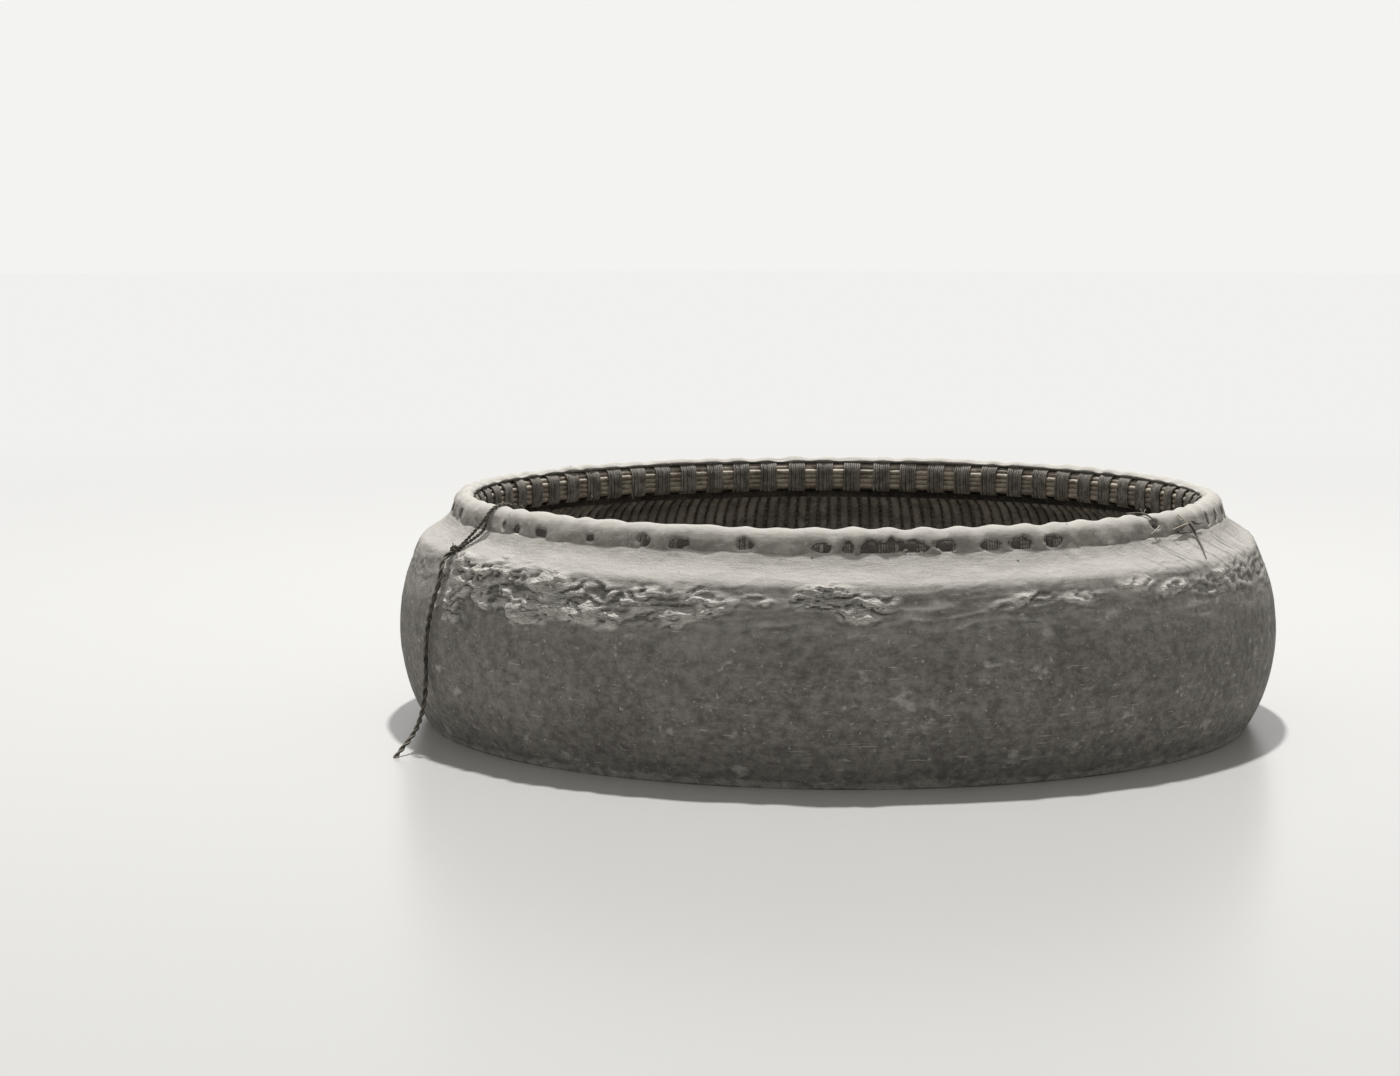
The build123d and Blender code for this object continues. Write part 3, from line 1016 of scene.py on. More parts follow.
@dataclass
class Coat:
    """Bitumen coat: the bowl, the apron over its shoulder with folds and lumps, and the cover of the rim.

    Attributes:
        thickness: Thickness of the coat.
        seam: Height at which the apron comes out from behind the bowl's upper edge.
        tuck: How far the apron goes down behind that edge.
        shoulder_radius: Radius of the hull where the lumps are.
        rope_bearing: Angle at which the painter presses the folds flat, in degrees.
        rope_radius: Radius at which it does so.
        bowl_edge: Heights of the bowl's upper edge, outside and inside.
        bowl_rows: Points of the bowl's outer face, from the axis up.
        bowl_columns: Points round the bowl.
        curve_end: Height up to which the apron follows the bowl's curve.
        apron_rows: Points of the apron's outer face.
        apron_columns: Points round the apron.
        rim_rows: Points of the rim's outer face.
        rim_columns: Points round the rim.
        lip_rows: Points at the inner edge of the rim, where it is ragged.
        shoulder: Points (radius, height) of the apron, from the bowl's curve up behind the rim.
        rim_outside: Points of the rim's outer face, from behind the apron up and over.
        rim_inside: Points of its inner face, back down.
        spots: Worn spots of the rim.
        lumps: Heaps of folds and lumps on the side that faces the camera.
    """

    thickness: float = 0.018
    seam: float = 0.690
    tuck: float = 0.060
    shoulder_radius: float = 1.53
    rope_bearing: float = 208.3
    rope_radius: float = 1.55
    bowl_edge: Pair = (0.745, 0.73)
    bowl_rows: int = 118
    bowl_columns: int = 720
    curve_end: float = 0.800
    apron_rows: int = 74
    apron_columns: int = 1200
    rim_rows: int = 30
    rim_columns: int = 1440
    lip_rows: int = 4
    shoulder: tuple[Pair, ...] = (
        (1.5452, 0.850), (1.5275, 0.899), (1.5150, 0.919), (1.4905, 0.935), (1.4650, 0.951),
        (1.4410, 0.968), (1.4240, 0.984), (1.4125, 0.998), (1.4035, 1.008),
    )
    rim_outside: tuple[Pair, ...] = (
        (1.400, 0.945), (1.411, 0.965), (1.411, 0.990), (1.404, 1.022),
        (1.390, 1.060), (1.366, 1.079), (1.342, 1.081), (1.324, 1.066),
    )
    rim_inside: tuple[Pair, ...] = (
        (1.329, 1.058), (1.345, 1.069), (1.366, 1.067), (1.383, 1.048), (1.394, 1.010), (1.390, 0.945),
    )
    spots: tuple[Patch, ...] = (
        Patch(213.4, 1.028, 0.012, 0.012),
        Patch(216.7, 1.018, 0.018, 0.014),
        Patch(222.6, 1.017, 0.027, 0.020),
        Patch(232.0, 1.022, 0.015, 0.011),
        Patch(240.9, 1.024, 0.026, 0.018),
        Patch(246.3, 1.022, 0.034, 0.017),
        Patch(255.4, 1.026, 0.036, 0.018),
        Patch(265.8, 1.024, 0.030, 0.015),
        Patch(269.2, 1.024, 0.018, 0.018),
        Patch(272.4, 1.024, 0.046, 0.021),
        Patch(275.2, 1.026, 0.048, 0.022),
        Patch(278.0, 1.025, 0.044, 0.021),
        Patch(282.2, 1.025, 0.038, 0.020),
        Patch(288.5, 1.022, 0.034, 0.016),
        Patch(293.0, 1.024, 0.036, 0.020),
        Patch(298.0, 1.025, 0.032, 0.019),
        Patch(318.2, 1.052, 0.026, 0.018),
        Patch(334.7, 1.030, 0.021, 0.022),
        Patch(339.6, 1.034, 0.021, 0.022),
    )
    lumps: tuple[Patch, ...] = (
        Patch(211, 0.842, 0.13, 0.100, 1.0),
        Patch(218, 0.845, 0.16, 0.085, 1.0),
        Patch(227, 0.840, 0.20, 0.080, 1.0),
        Patch(236, 0.830, 0.22, 0.070, 1.0),
        Patch(245, 0.835, 0.17, 0.068, 0.95),
        Patch(251, 0.850, 0.13, 0.055, 0.8),
        Patch(211, 0.738, 0.12, 0.036, 0.8),
        Patch(258, 0.862, 0.06, 0.018, 0.5),
        Patch(266.0, 0.874, 0.11, 0.055, 1.0),
        Patch(271.0, 0.845, 0.11, 0.040, 1.0),
        Patch(288, 0.845, 0.05, 0.020, 0.5),
        Patch(292.5, 0.862, 0.08, 0.022, 0.6),
        Patch(299, 0.858, 0.09, 0.025, 0.6),
        Patch(308, 0.880, 0.10, 0.025, 0.6),
        Patch(314, 0.850, 0.10, 0.030, 0.7),
        Patch(322, 0.850, 0.12, 0.035, 0.6),
        Patch(331, 0.860, 0.16, 0.050, 0.30),
        Patch(342, 0.850, 0.18, 0.060, 0.22),
    )

    def unseen_spots(self) -> list[Patch]:
        """Worn spots for the far side and both ends, in the same manner."""
        rng = np.random.default_rng(5)
        return [
            Patch(angle + rng.uniform(-2, 2), 1.024, rng.uniform(0.014, 0.04), rng.uniform(0.012, 0.020))
            for angle in (*range(6, 196, 9), *range(346, 366, 9))
        ]

    def unseen_lumps(self) -> list[Patch]:
        """Lumps for the far side, in the same manner."""
        rng = np.random.default_rng(17)
        return [
            Patch(
                bearing % 360,
                rng.uniform(0.825, 0.875),
                rng.uniform(0.08, 0.22),
                rng.uniform(0.03, 0.075),
                rng.uniform(0.45, 1.0),
            )
            for bearing in np.arange(367, 530, 8.5) + rng.uniform(-2, 2, 20)
        ]

    def strength(self, points: np.ndarray) -> np.ndarray:
        """How strongly the shoulder is wrinkled.

        Args:
            points: Places on the coat, one row each.

        Returns:
            A value from 0 to 1 for each.
        """
        ragged = layered_noise(points, (9, 9, 16), 35, 3) * 0.45
        strength = np.zeros(len(points))
        for lump in (*self.lumps, *self.unseen_lumps()):
            near = lump.away(points, self.shoulder_radius) + ragged
            strength = np.maximum(strength, lump.strength * (1 - smooth_step(0.6, 1.25, near)))
        return strength * self.clear_of_rope(points)

    def clear_of_rope(self, points: np.ndarray) -> np.ndarray:
        """0 where the painter lies on the coat and 1 away from it."""
        return smooth_step(0.012, 0.045, np.abs(turn_from(points, self.rope_bearing)) * self.rope_radius)

    def skin(self, points: np.ndarray) -> np.ndarray:
        """Relief of the coat's outer face: swells, dents, wrinkles, folds and lumps.

        Args:
            points: Places on the coat, one row each.

        Returns:
            The height of each, in metres.
        """
        strength = self.strength(points)
        relief = strength * self.folds(points)
        warp = points + [0, 0, 0.034] * layered_noise(points, (6.5, 6.5, 7), 43, 2)[:, None]
        wrinkles = (1 - np.abs(layered_noise(warp, (4, 4, 42), 65, 2))) ** 4
        band = smooth_step(0.72, 0.80, points[:, 2]) * (1 - smooth_step(0.93, 0.955, points[:, 2]))
        relief += band * (0.55 + strength) * (wrinkles - 0.25) * 0.0042
        edge = smooth_step(0.82, 0.88, points[:, 2]) * (1 - smooth_step(0.95, 0.98, points[:, 2]))
        relief += edge * self.clear_of_rope(points) * layered_noise(points, (5.5, 5.5, 9), 27, 2) * 0.006
        relief += layered_noise(points, (3.1, 3.1, 4.3), 11, 3) * 0.0024
        relief += np.minimum(layered_noise(points, (15, 15, 26), 21, 2), 0) * 0.003
        return relief - 0.001

    def folds(self, points: np.ndarray) -> np.ndarray:
        """Folds that hang over one another, and the lumps among them.

        Args:
            points: Places on the coat, one row each.

        Returns:
            The height of each, in metres.
        """
        sway = layered_noise(points, (6, 6, 9), 41, 3)
        folds = np.zeros(len(points))
        for seed, pitch in ((51, 0.028), (57, 0.042)):
            phase = points[:, 2] / pitch + 1.4 * sway + 1.1 * layered_noise(points, (16, 16, 22), seed, 3)
            rise = phase - np.floor(phase)
            swell = np.clip(0.68 + 1.2 * layered_noise(points, (10, 10, 18), seed + 3, 2), 0, 1)
            folds = np.maximum(folds, swell * pitch * 0.95 * np.minimum(1 - rise, rise * 5))
        lumps = np.maximum(layered_noise(points, (19, 19, 30), 71, 3), 0) ** 1.1
        return folds - 0.006 + 0.014 * lumps

    def bowl_relief(self, points: np.ndarray, rows: np.ndarray) -> np.ndarray:
        """Relief of the bowl's outer face.

        Args:
            points: Places on the coat, one row each.
            rows: Number of each point's row in the section.

        Returns:
            The height of each, in metres.
        """
        behind = smooth_step(0.012, 0.04, points[:, 2] - self.lap(points)) * 0.010
        flat = (1 - smooth_step(0.03, 0.14, points[:, 2])) * 0.0035
        return np.where(rows < self.bowl_rows - 1, self.skin(points) - behind - flat, 0.0)

    def apron_relief(self, points: np.ndarray, rows: np.ndarray) -> np.ndarray:
        """Relief of the apron's outer face, in metres."""
        behind = (1 - smooth_step(-0.026, 0.004, points[:, 2] - self.lap(points))) * 0.008
        return np.where(rows < self.apron_rows, self.skin(points) - behind + 0.0008, 0.0)

    def lap(self, points: np.ndarray) -> np.ndarray:
        """Height of the apron's wandering lower edge."""
        return self.seam + layered_noise(points * [1, 1, 0], (2.6, 2.6, 1), 45, 4) * 0.020

    def worn(self, points: np.ndarray) -> np.ndarray:
        """How far the rim's coat is worn away.

        Args:
            points: Places on the coat, one row each.

        Returns:
            A value from 0 to 1 for each.
        """
        radius = np.hypot(points[:, 0], points[:, 1])
        ragged = layered_noise(points, (42, 42, 60), 111, 3) * 0.55
        worn = np.zeros(len(points))
        for spot in (*self.spots, *self.unseen_spots()):
            worn = np.maximum(worn, 1 - smooth_step(0.8, 1.2, spot.away(points, radius) + ragged))
        return worn * (radius > 1.37)

    def rim_relief(self, points: np.ndarray, rows: np.ndarray) -> np.ndarray:
        """Scallops over the lashings, swells and worn spots of the rim's coat.

        Args:
            points: Places on the coat, one row each.
            rows: Number of each point's row in the section.

        Returns:
            The height of each, in metres.
        """
        bearing = np.arctan2(points[:, 1], points[:, 0])
        flat = points * [1, 1, 0]
        over_lashing = np.cos((bearing - FIRST_BAY) * BAYS + 1.1 * lattice_noise(flat, (5, 5, 1), 121))
        crest = smooth_step(1.01, 1.07, points[:, 2]) * (1 + 0.9 * lattice_noise(flat, (5, 5, 1), 125))
        scallop = over_lashing * (0.0008 + 0.0026 * crest)
        swell = layered_noise(points, (8, 8, 14), 131, 4) * 0.0048
        at_lip = rows >= self.rim_rows - self.lip_rows
        lip = np.where(at_lip, lattice_noise(points, (17, 17, 20), 137) * 0.006, 0)
        return np.where(rows < self.rim_rows, scallop + swell + lip, 0) - 0.008 * self.worn(points)

    def bowl(self) -> None:
        """Makes the coat of the bottom and the sides, up behind the apron."""
        outer = HULL.section(0, -1, self.bowl_edge[0], self.bowl_rows)
        inner = HULL.section(self.thickness, -1, self.bowl_edge[1], 14)[::-1]
        section = np.concatenate([outer[1:], inner[:-1]])
        bowl = turned_surface(section, self.bowl_columns, False, self.bowl_relief)
        bowl.values["fold"] = self.strength(bowl.points)
        dressed(bowl.piece("coat_bowl"), "tar", Slot.BITUMEN, "bitumen_coat")

    def apron(self) -> None:
        """Makes the second layer over the shoulder."""
        foot = self.seam - self.tuck
        lower = HULL.section(0, foot, self.curve_end, 30)
        upper = rounded([lower[-1], *self.shoulder], 2)
        outer = spaced(np.concatenate([lower[:-1], upper]), self.apron_rows)
        inner = [(1.392, 0.998), (1.396, 0.950), *HULL.section(self.thickness, foot, 0.93, 5)[::-1]]
        apron = turned_surface(np.concatenate([outer, inner]), self.apron_columns, True, self.apron_relief)
        apron.values["fold"] = self.strength(apron.points)
        dressed(apron.piece("coat_apron"), "tar", Slot.BITUMEN)

    def rim(self) -> None:
        """Makes the cover of the gunwale."""
        outer = spaced(rounded(self.rim_outside, 2), self.rim_rows)
        inner = spaced(rounded(self.rim_inside, 2), 10)
        rim = turned_surface(np.concatenate([outer, inner]), self.rim_columns, True, self.rim_relief)
        rim.values["worn"] = self.worn(rim.points)
        dressed(rim.piece("coat_rim"), "rim", Slot.BITUMEN)

    def build(self) -> None:
        """Makes the three parts of the coat and dresses them."""
        self.bowl()
        self.apron()
        self.rim()


# Basket, ribs and floor


@dataclass
class Basket:
    """Coiled reed wall under the coat, with the ribs on its inner face.

    Attributes:
        outer: Depth of its outer face inside the coat's.
        inner: Depth of its inner face.
        top: Heights of its upper edge, outside and inside.
        rows: Points of its outer and of its inner face, from the axis up.
        columns: Points round the wall.
        rib_width: Width of a rib.
        rib_depth: Depth of a rib.
        rib_section: Corners of a rib's section, in widths across and in depths off the wall.
        rib_gap: Gap between a rib and the wall.
        rib_top: Height of a rib's upper end.
        long_foot: Radius and height of a long rib's lower end, at the edge of the floor.
        short_foot: Height of a short rib's lower end.
    """

    outer: float = 0.019
    inner: float = 0.048
    top: Pair = (0.95, 0.948)
    rows: tuple[int, int] = (30, 150)
    columns: int = 432
    rib_width: float = 0.034
    rib_depth: float = 0.015
    rib_section: tuple[Pair, ...] = (
        (-0.5, 0.0), (0.5, 0.0), (0.44, 0.55), (0.2, 0.95), (-0.2, 0.95), (-0.44, 0.55),
    )
    rib_gap: float = 0.0005
    rib_top: float = 0.952
    long_foot: Pair = (1.035, 0.0495)
    short_foot: float = 0.757

    def wall(self) -> None:
        """Makes the coiled wall."""
        outside = HULL.section(self.outer, -1, self.top[0], self.rows[0])
        inside = HULL.section(self.inner, -1, self.top[1], self.rows[1])[::-1]
        steps = reach_along(inside)
        reach = np.concatenate([np.zeros(len(outside) - 1), (steps[-1] - steps)[:-1]])
        surface = turned_surface(np.concatenate([outside[1:], inside[:-1]]), self.columns, False)
        surface.values = {"reach": np.concatenate([np.repeat(reach, self.columns), [0, 0]])}
        dressed(surface.piece("basket_wall"), "reed", Slot.REED, "coiled_basket")

    def rib(self, name: str, low: float) -> bpy.types.Object:
        """One split branch at angle 0, from a height up to the gunwale.

        Args:
            name: Name of the piece.
            low: Height of its lower end, or a negative number for the floor's edge.

        Returns:
            The branch, flat side on the basket.
        """
        line = HULL.section(self.inner + self.rib_gap, max(low, 0.05), self.rib_top, 22 if low < 0 else 13)
        if low < 0:
            line[0] = self.long_foot
        section = np.array(self.rib_section)
        points = []
        for number, ((radius, height), side) in enumerate(zip(line, sides_of(line))):
            taper = 0.75 if number in (0, len(line) - 1) else 1.0
            for across, rise in section * [self.rib_width * taper, self.rib_depth * taper]:
                points.append((radius - side[0] * rise, across, height - side[1] * rise))
        count, size = len(line), len(section)
        faces: list[tuple[int, ...]] = []
        for row in range(count - 1):
            for k in range(size):
                low_a, low_b = row * size + k, row * size + (k + 1) % size
                faces.append((low_a, low_a + size, low_b + size, low_b))
        faces.append(tuple(range(size)))
        faces.append(tuple((count - 1) * size + k for k in reversed(range(size))))
        return Surface(np.array(points), faces).piece(name)

    def ribs(self) -> None:
        """Makes the long ribs in the middle of the bays and the short ones between them."""
        wander = {"Jitter": 0.0012, "Wander": 0.003, "Wander_Scale": 5.0, "Finish": MATERIALS["rib"]}
        for name, low, shift, seed, node in (
            ("ribs_long", -1, 0.0, 3, "long_ribs"),
            ("ribs_short_left", self.short_foot, -BAY / 3, 4, "short_ribs"),
            ("ribs_short_right", self.short_foot, BAY / 3, 5, "short_ribs"),
        ):
            branch = self.rib(name, low)
            ribs = repeated(branch, Copies=BAYS, Start=FIRST_BAY + shift, Step=BAY, Seed=seed, **wander)
            dressed(ribs, "rib", Slot.RIB_WOOD, node)

    def build(self) -> None:
        """Makes the wall and its ribs."""
        self.wall()
        self.ribs()


# Gunwale


@dataclass
class Gunwale:
    """Bundle of withies bent into a hoop, and the cord lashings round it.

    Attributes:
        rod_radius: Radius of a withy.
        rod_pitch: Distance between the withies of the hoop's two faces.
        rod_sides: Sides of a withy.
        rod_columns: Points along a withy, round the hull.
        core: Points (radius, height) of the plain core between the withies.
        core_columns: Points round the core.
        cord_radius: Radius of the lashing's cord.
        turns: Turns of cord in a lashing.
        turn_pitch: Distance between turns.
        lashing: Points that the middle of a lashing's cord follows, from outside to inside.
    """

    rod_radius: float = 0.0095
    rod_pitch: float = 0.0185
    rod_sides: int = 7
    rod_columns: int = 480
    core: tuple[Pair, ...] = ((1.325, 0.955), (1.384, 0.955), (1.384, 1.02), (1.355, 1.038), (1.327, 1.03))
    core_columns: int = 144
    cord_radius: float = 0.0042
    turns: int = 8
    turn_pitch: float = 0.0084
    lashing: tuple[Pair, ...] = (
        (1.3980, 0.958), (1.3980, 1.014), (1.386, 1.049), (1.355, 1.0625), (1.320, 1.053),
        (1.3085, 1.03), (1.3085, 0.966), (1.3120, 0.946), (1.3320, 0.944),
    )

    def withies(self) -> None:
        """Makes the rods of the hoop round the core."""
        places = [(1.3225, 0.966 + self.rod_pitch * step) for step in range(4)]
        places += [(1.331, 1.0385), (1.3475, 1.0455), (1.365, 1.043), (1.379, 1.033)]
        places += [(1.3865, 1.018 - self.rod_pitch * step) for step in range(4)]
        turn = np.arange(self.rod_sides) * 2 * pi / self.rod_sides
        rods = []
        for number, (radius, height) in enumerate(places):
            size = self.rod_radius * (1 + 0.08 * sin(number * 2.4))
            loop = np.stack([radius + size * np.cos(turn), height + size * np.sin(turn)], 1)
            rods.append(turned_surface(loop, self.rod_columns, True, self.wobble(number)))
        rods.append(turned_surface(np.array(self.core), self.core_columns, True))
        surface = all_joined(rods)
        surface.values["shade"] = lattice_noise(surface.points, (3, 3, 55), 141) * 0.5 + 0.5
        dressed(surface.piece("gunwale_rods"), "withy", Slot.WITHY, "gunwale_withies")

    def wobble(self, number: int) -> Callable[[np.ndarray, np.ndarray], np.ndarray]:
        """A relief that makes one rod uneven along its length."""
        return lambda points, rows: layered_noise(points, (12, 12, 30), 150 + number, 2) * 0.0016

    def lashings(self) -> None:
        """Makes one lashing of several turns and repeats it round the hull."""
        line = spaced(rounded(self.lashing, 2), 17)
        cords = []
        rng = np.random.default_rng(9)
        for turn in range(self.turns):
            across = (turn - (self.turns - 1) / 2) * self.turn_pitch
            lean = rng.uniform(-0.003, 0.003)
            path = np.stack([line[:, 0], across + np.linspace(-lean, lean, len(line)), line[:, 1]], 1)
            cords.append(tube(path, self.cord_radius * rng.uniform(0.9, 1.1), 6))
        ring = {"Copies": BAYS, "Start": FIRST_BAY, "Step": BAY, "Jitter": 0.0022, "Seed": 8}
        wander = {"Wander": 0.003, "Wander_Scale": 22.0, "Finish": MATERIALS["cord"]}
        lashings = repeated(all_joined(cords).piece("lashing_cords"), **ring, **wander)
        dressed(lashings, "cord", Slot.PALM_CORD, "gunwale_lashings")

    def build(self) -> None:
        """Makes the hoop and its lashings."""
        self.withies()
        self.lashings()


# Painter


@dataclass
class Painter:
    """Rope tied round the gunwale, its knots and its way down the hull to the ground.

    Attributes:
        bearing: Angle of the knot round the hull, in degrees.
        radius: Radius of the rope.
        pitch: Length in which a strand goes once round.
        length: Length of the rope below the knot.
        route: Control points of the rope's line, from the knot to its end.
        strand_radius: Radius of the rope where it is drawn tight round the gunwale.
        strand_pitch: Length in which its strands go once round there.
        knot_pitch: Length in which they do so in a knot.
        knot_half: Half the width of the knot's turns, across and up.
        stopper_half: Half the width of the end knot's turns.
        knot_turns: Number of turns in the knot and in the end knot.
        knot_reach: How far the middle of each lies past its end of the rope.
        points: Points along the rope, and along each strand of the loop.
        taut: Points (radius, height, across) of the loop's taut strand, from the knot up and over.
        slack: Points of its slack strand.
        inside: Points of both strands inside the gunwale, down and back under it.
        slack_shift: How far the slack strand lies beside the taut one there.
        out: Direction (radius, height) in which the rope goes through the knot.
    """

    bearing: float = 207.0
    radius: float = 0.009
    pitch: float = 0.078
    length: float = 1.928
    route: tuple[Triple, ...] = (
        (-1.3533, -0.6895, 0.9268),
        (-1.382, -0.7042, 0.9108),
        (-1.388, -0.732, 0.879),
        (-1.394, -0.753, 0.83),
        (-1.419, -0.75, 0.76),
        (-1.437, -0.729, 0.678),
        (-1.4475, -0.712, 0.59),
        (-1.447, -0.702, 0.5),
        (-1.452, -0.696, 0.426),
        (-1.458, -0.738, 0.372),
        (-1.476, -0.828, 0.317),
        (-1.533, -0.924, 0.256),
        (-1.58, -1.03, 0.175),
        (-1.584, -1.144, 0.095),
        (-1.56, -1.242, 0.032),
        (-1.496, -1.334, 0.0095),
        (-1.388, -1.382, 0.0095),
        (-1.26, -1.376, 0.0095),
        (-1.13, -1.357, 0.0095),
        (-1.024, -1.384, 0.012),
        (-0.944, -1.432, 0.02),
    )
    strand_radius: float = 0.0062
    strand_pitch: float = 0.03
    knot_pitch: float = 0.022
    knot_half: Pair = (0.0175, 0.0145)
    stopper_half: Pair = (0.0185, 0.0185)
    knot_turns: Pair = (2.5, 3.0)
    knot_reach: Pair = (0.012, 0.022)
    points: tuple[int, int] = (520, 130)
    taut: tuple[Triple, ...] = (
        (1.4960, 0.9400, 0.000), (1.4640, 0.9730, 0.012), (1.4310, 1.0120, 0.026), (1.4090, 1.0440, 0.038),
        (1.3950, 1.0680, 0.044), (1.3640, 1.0900, 0.046), (1.3180, 1.0800, 0.046),
    )
    slack: tuple[Triple, ...] = (
        (1.4980, 0.9390, 0.004), (1.4830, 0.9520, 0.026), (1.4500, 0.9760, 0.037), (1.4290, 0.9990, 0.055),
        (1.4200, 1.0180, 0.062), (1.4130, 1.0420, 0.059), (1.4010, 1.0680, 0.056), (1.3660, 1.0910, 0.059),
        (1.3200, 1.0880, 0.060),
    )
    inside: tuple[Triple, ...] = (
        (1.2970, 1.0500, 0.046), (1.2930, 1.0000, 0.034), (1.2930, 0.9450, 0.017), (1.3200, 0.9250, 0.009),
        (1.3800, 0.9200, 0.009),
    )
    slack_shift: float = 0.012
    out: Pair = (0.896, -0.444)

    def line(self) -> np.ndarray:
        """Reads the rope's line from a NURBS curve with the route as its control points.

        Returns:
            Points of the smooth line.
        """
        curve = bpy.data.curves.new("painter_line", "CURVE")
        curve.dimensions = "3D"
        spline = curve.splines.new("NURBS")
        spline.points.add(len(self.route) - 1)
        for point, place in zip(spline.points, self.route):
            point.co = (*place, 1)
        spline.order_u = 3
        spline.use_endpoint_u = True
        spline.resolution_u = 24
        holder = bpy.data.objects.new("painter_line", curve)
        bpy.context.collection.objects.link(holder)
        mesh = bpy.data.meshes.new_from_object(holder.evaluated_get(bpy.context.evaluated_depsgraph_get()))
        points = np.array([vertex.co[:] for vertex in mesh.vertices])
        bpy.data.objects.remove(holder)
        bpy.data.meshes.remove(mesh)
        return points

    def at(self, radius: float, height: float, across: float) -> np.ndarray:
        """A point in the upright plane through the knot, moved sideways."""
        east, north = cos(radians(self.bearing)), sin(radians(self.bearing))
        return np.array([radius * east - across * north, radius * north + across * east, height])

    def knot(
        self, name: str, middle: np.ndarray, way: np.ndarray, half: Pair, turns: float
    ) -> bpy.types.Object:
        """A stopper knot of several turns round the rope.

        Args:
            name: Name of the piece.
            middle: Middle of the knot.
            way: Direction of the rope through it.
            half: Half the width of the turns, across and up.
            turns: Number of turns.

        Returns:
            The knot.
        """
        way = way / np.linalg.norm(way)
        first = np.cross(way, [0, 0, 1])
        first /= np.linalg.norm(first)
        second = np.cross(way, first)
        size = half[1] * 0.38
        turn = np.linspace(0, turns * 2 * pi, int(turns * 22))
        reach = (turn / (turns * 2 * pi) - 0.5) * turns * size * 1.75
        tuck = 0.35 + 0.65 * np.clip(np.minimum(turn, turn[-1] - turn) / 1.2, 0, 1)
        path = (
            middle
            + reach[:, None] * way
            + (tuck * np.cos(turn) * (half[0] - size))[:, None] * first
            + (tuck * np.sin(turn) * (half[1] - size))[:, None] * second
        )
        cross = np.linspace(-1, 1, 26)
        over = (
            middle
            + (cross * turns * size * 0.9)[:, None] * way
            + (np.sin(cross * 1.9) * half[0] * 0.55)[:, None] * first
            - (np.cos(cross * 1.45) * (half[1] + 0.001))[:, None] * second
        )
        runs = (spaced(path, len(path)), over)
        return all_joined([laid_rope(turned, size, self.knot_pitch, 7) for turned in runs]).piece(name)

    def strands(self) -> None:
        """Makes the loop over the gunwale."""
        shifted = [(radius, height, across + self.slack_shift) for radius, height, across in self.inside]
        loops = []
        for corners in (self.taut + self.inside, [*self.slack, *shifted]):
            path = np.array([self.at(*corner) for corner in corners])
            path = spaced(rounded(path, 3), self.points[1])
            loops.append(laid_rope(path, self.strand_radius, self.strand_pitch, 7))
        dressed(all_joined(loops).piece("painter_strands"), "rope", Slot.ROPE, "painter_loop")

    def build(self) -> None:
        """Makes the rope, its loop over the gunwale and its two knots."""
        line = self.line()
        rope = laid_rope(spaced(line, self.points[0]), self.radius, self.pitch, 8)
        painter = dressed(rope.piece("painter_rope"), "rope", Slot.ROPE, "painter")
        self.strands()
        down = self.at(self.out[0], self.out[1], 0)
        middle = line[0] - down * self.knot_reach[0]
        hitch = self.knot("painter_knot", middle, down, self.knot_half, self.knot_turns[0])
        dressed(hitch, "rope", Slot.ROPE, "painter_hitch")
        way = line[-1] - line[-4]
        middle = line[-1] + way / np.linalg.norm(way) * self.knot_reach[1]
        end = self.knot("painter_stopper", middle, way, self.stopper_half, self.knot_turns[1])
        dressed(end, "rope", Slot.ROPE, "painter_end_knot")


# Loose ends


End = tuple[float, tuple[Triple, ...]]


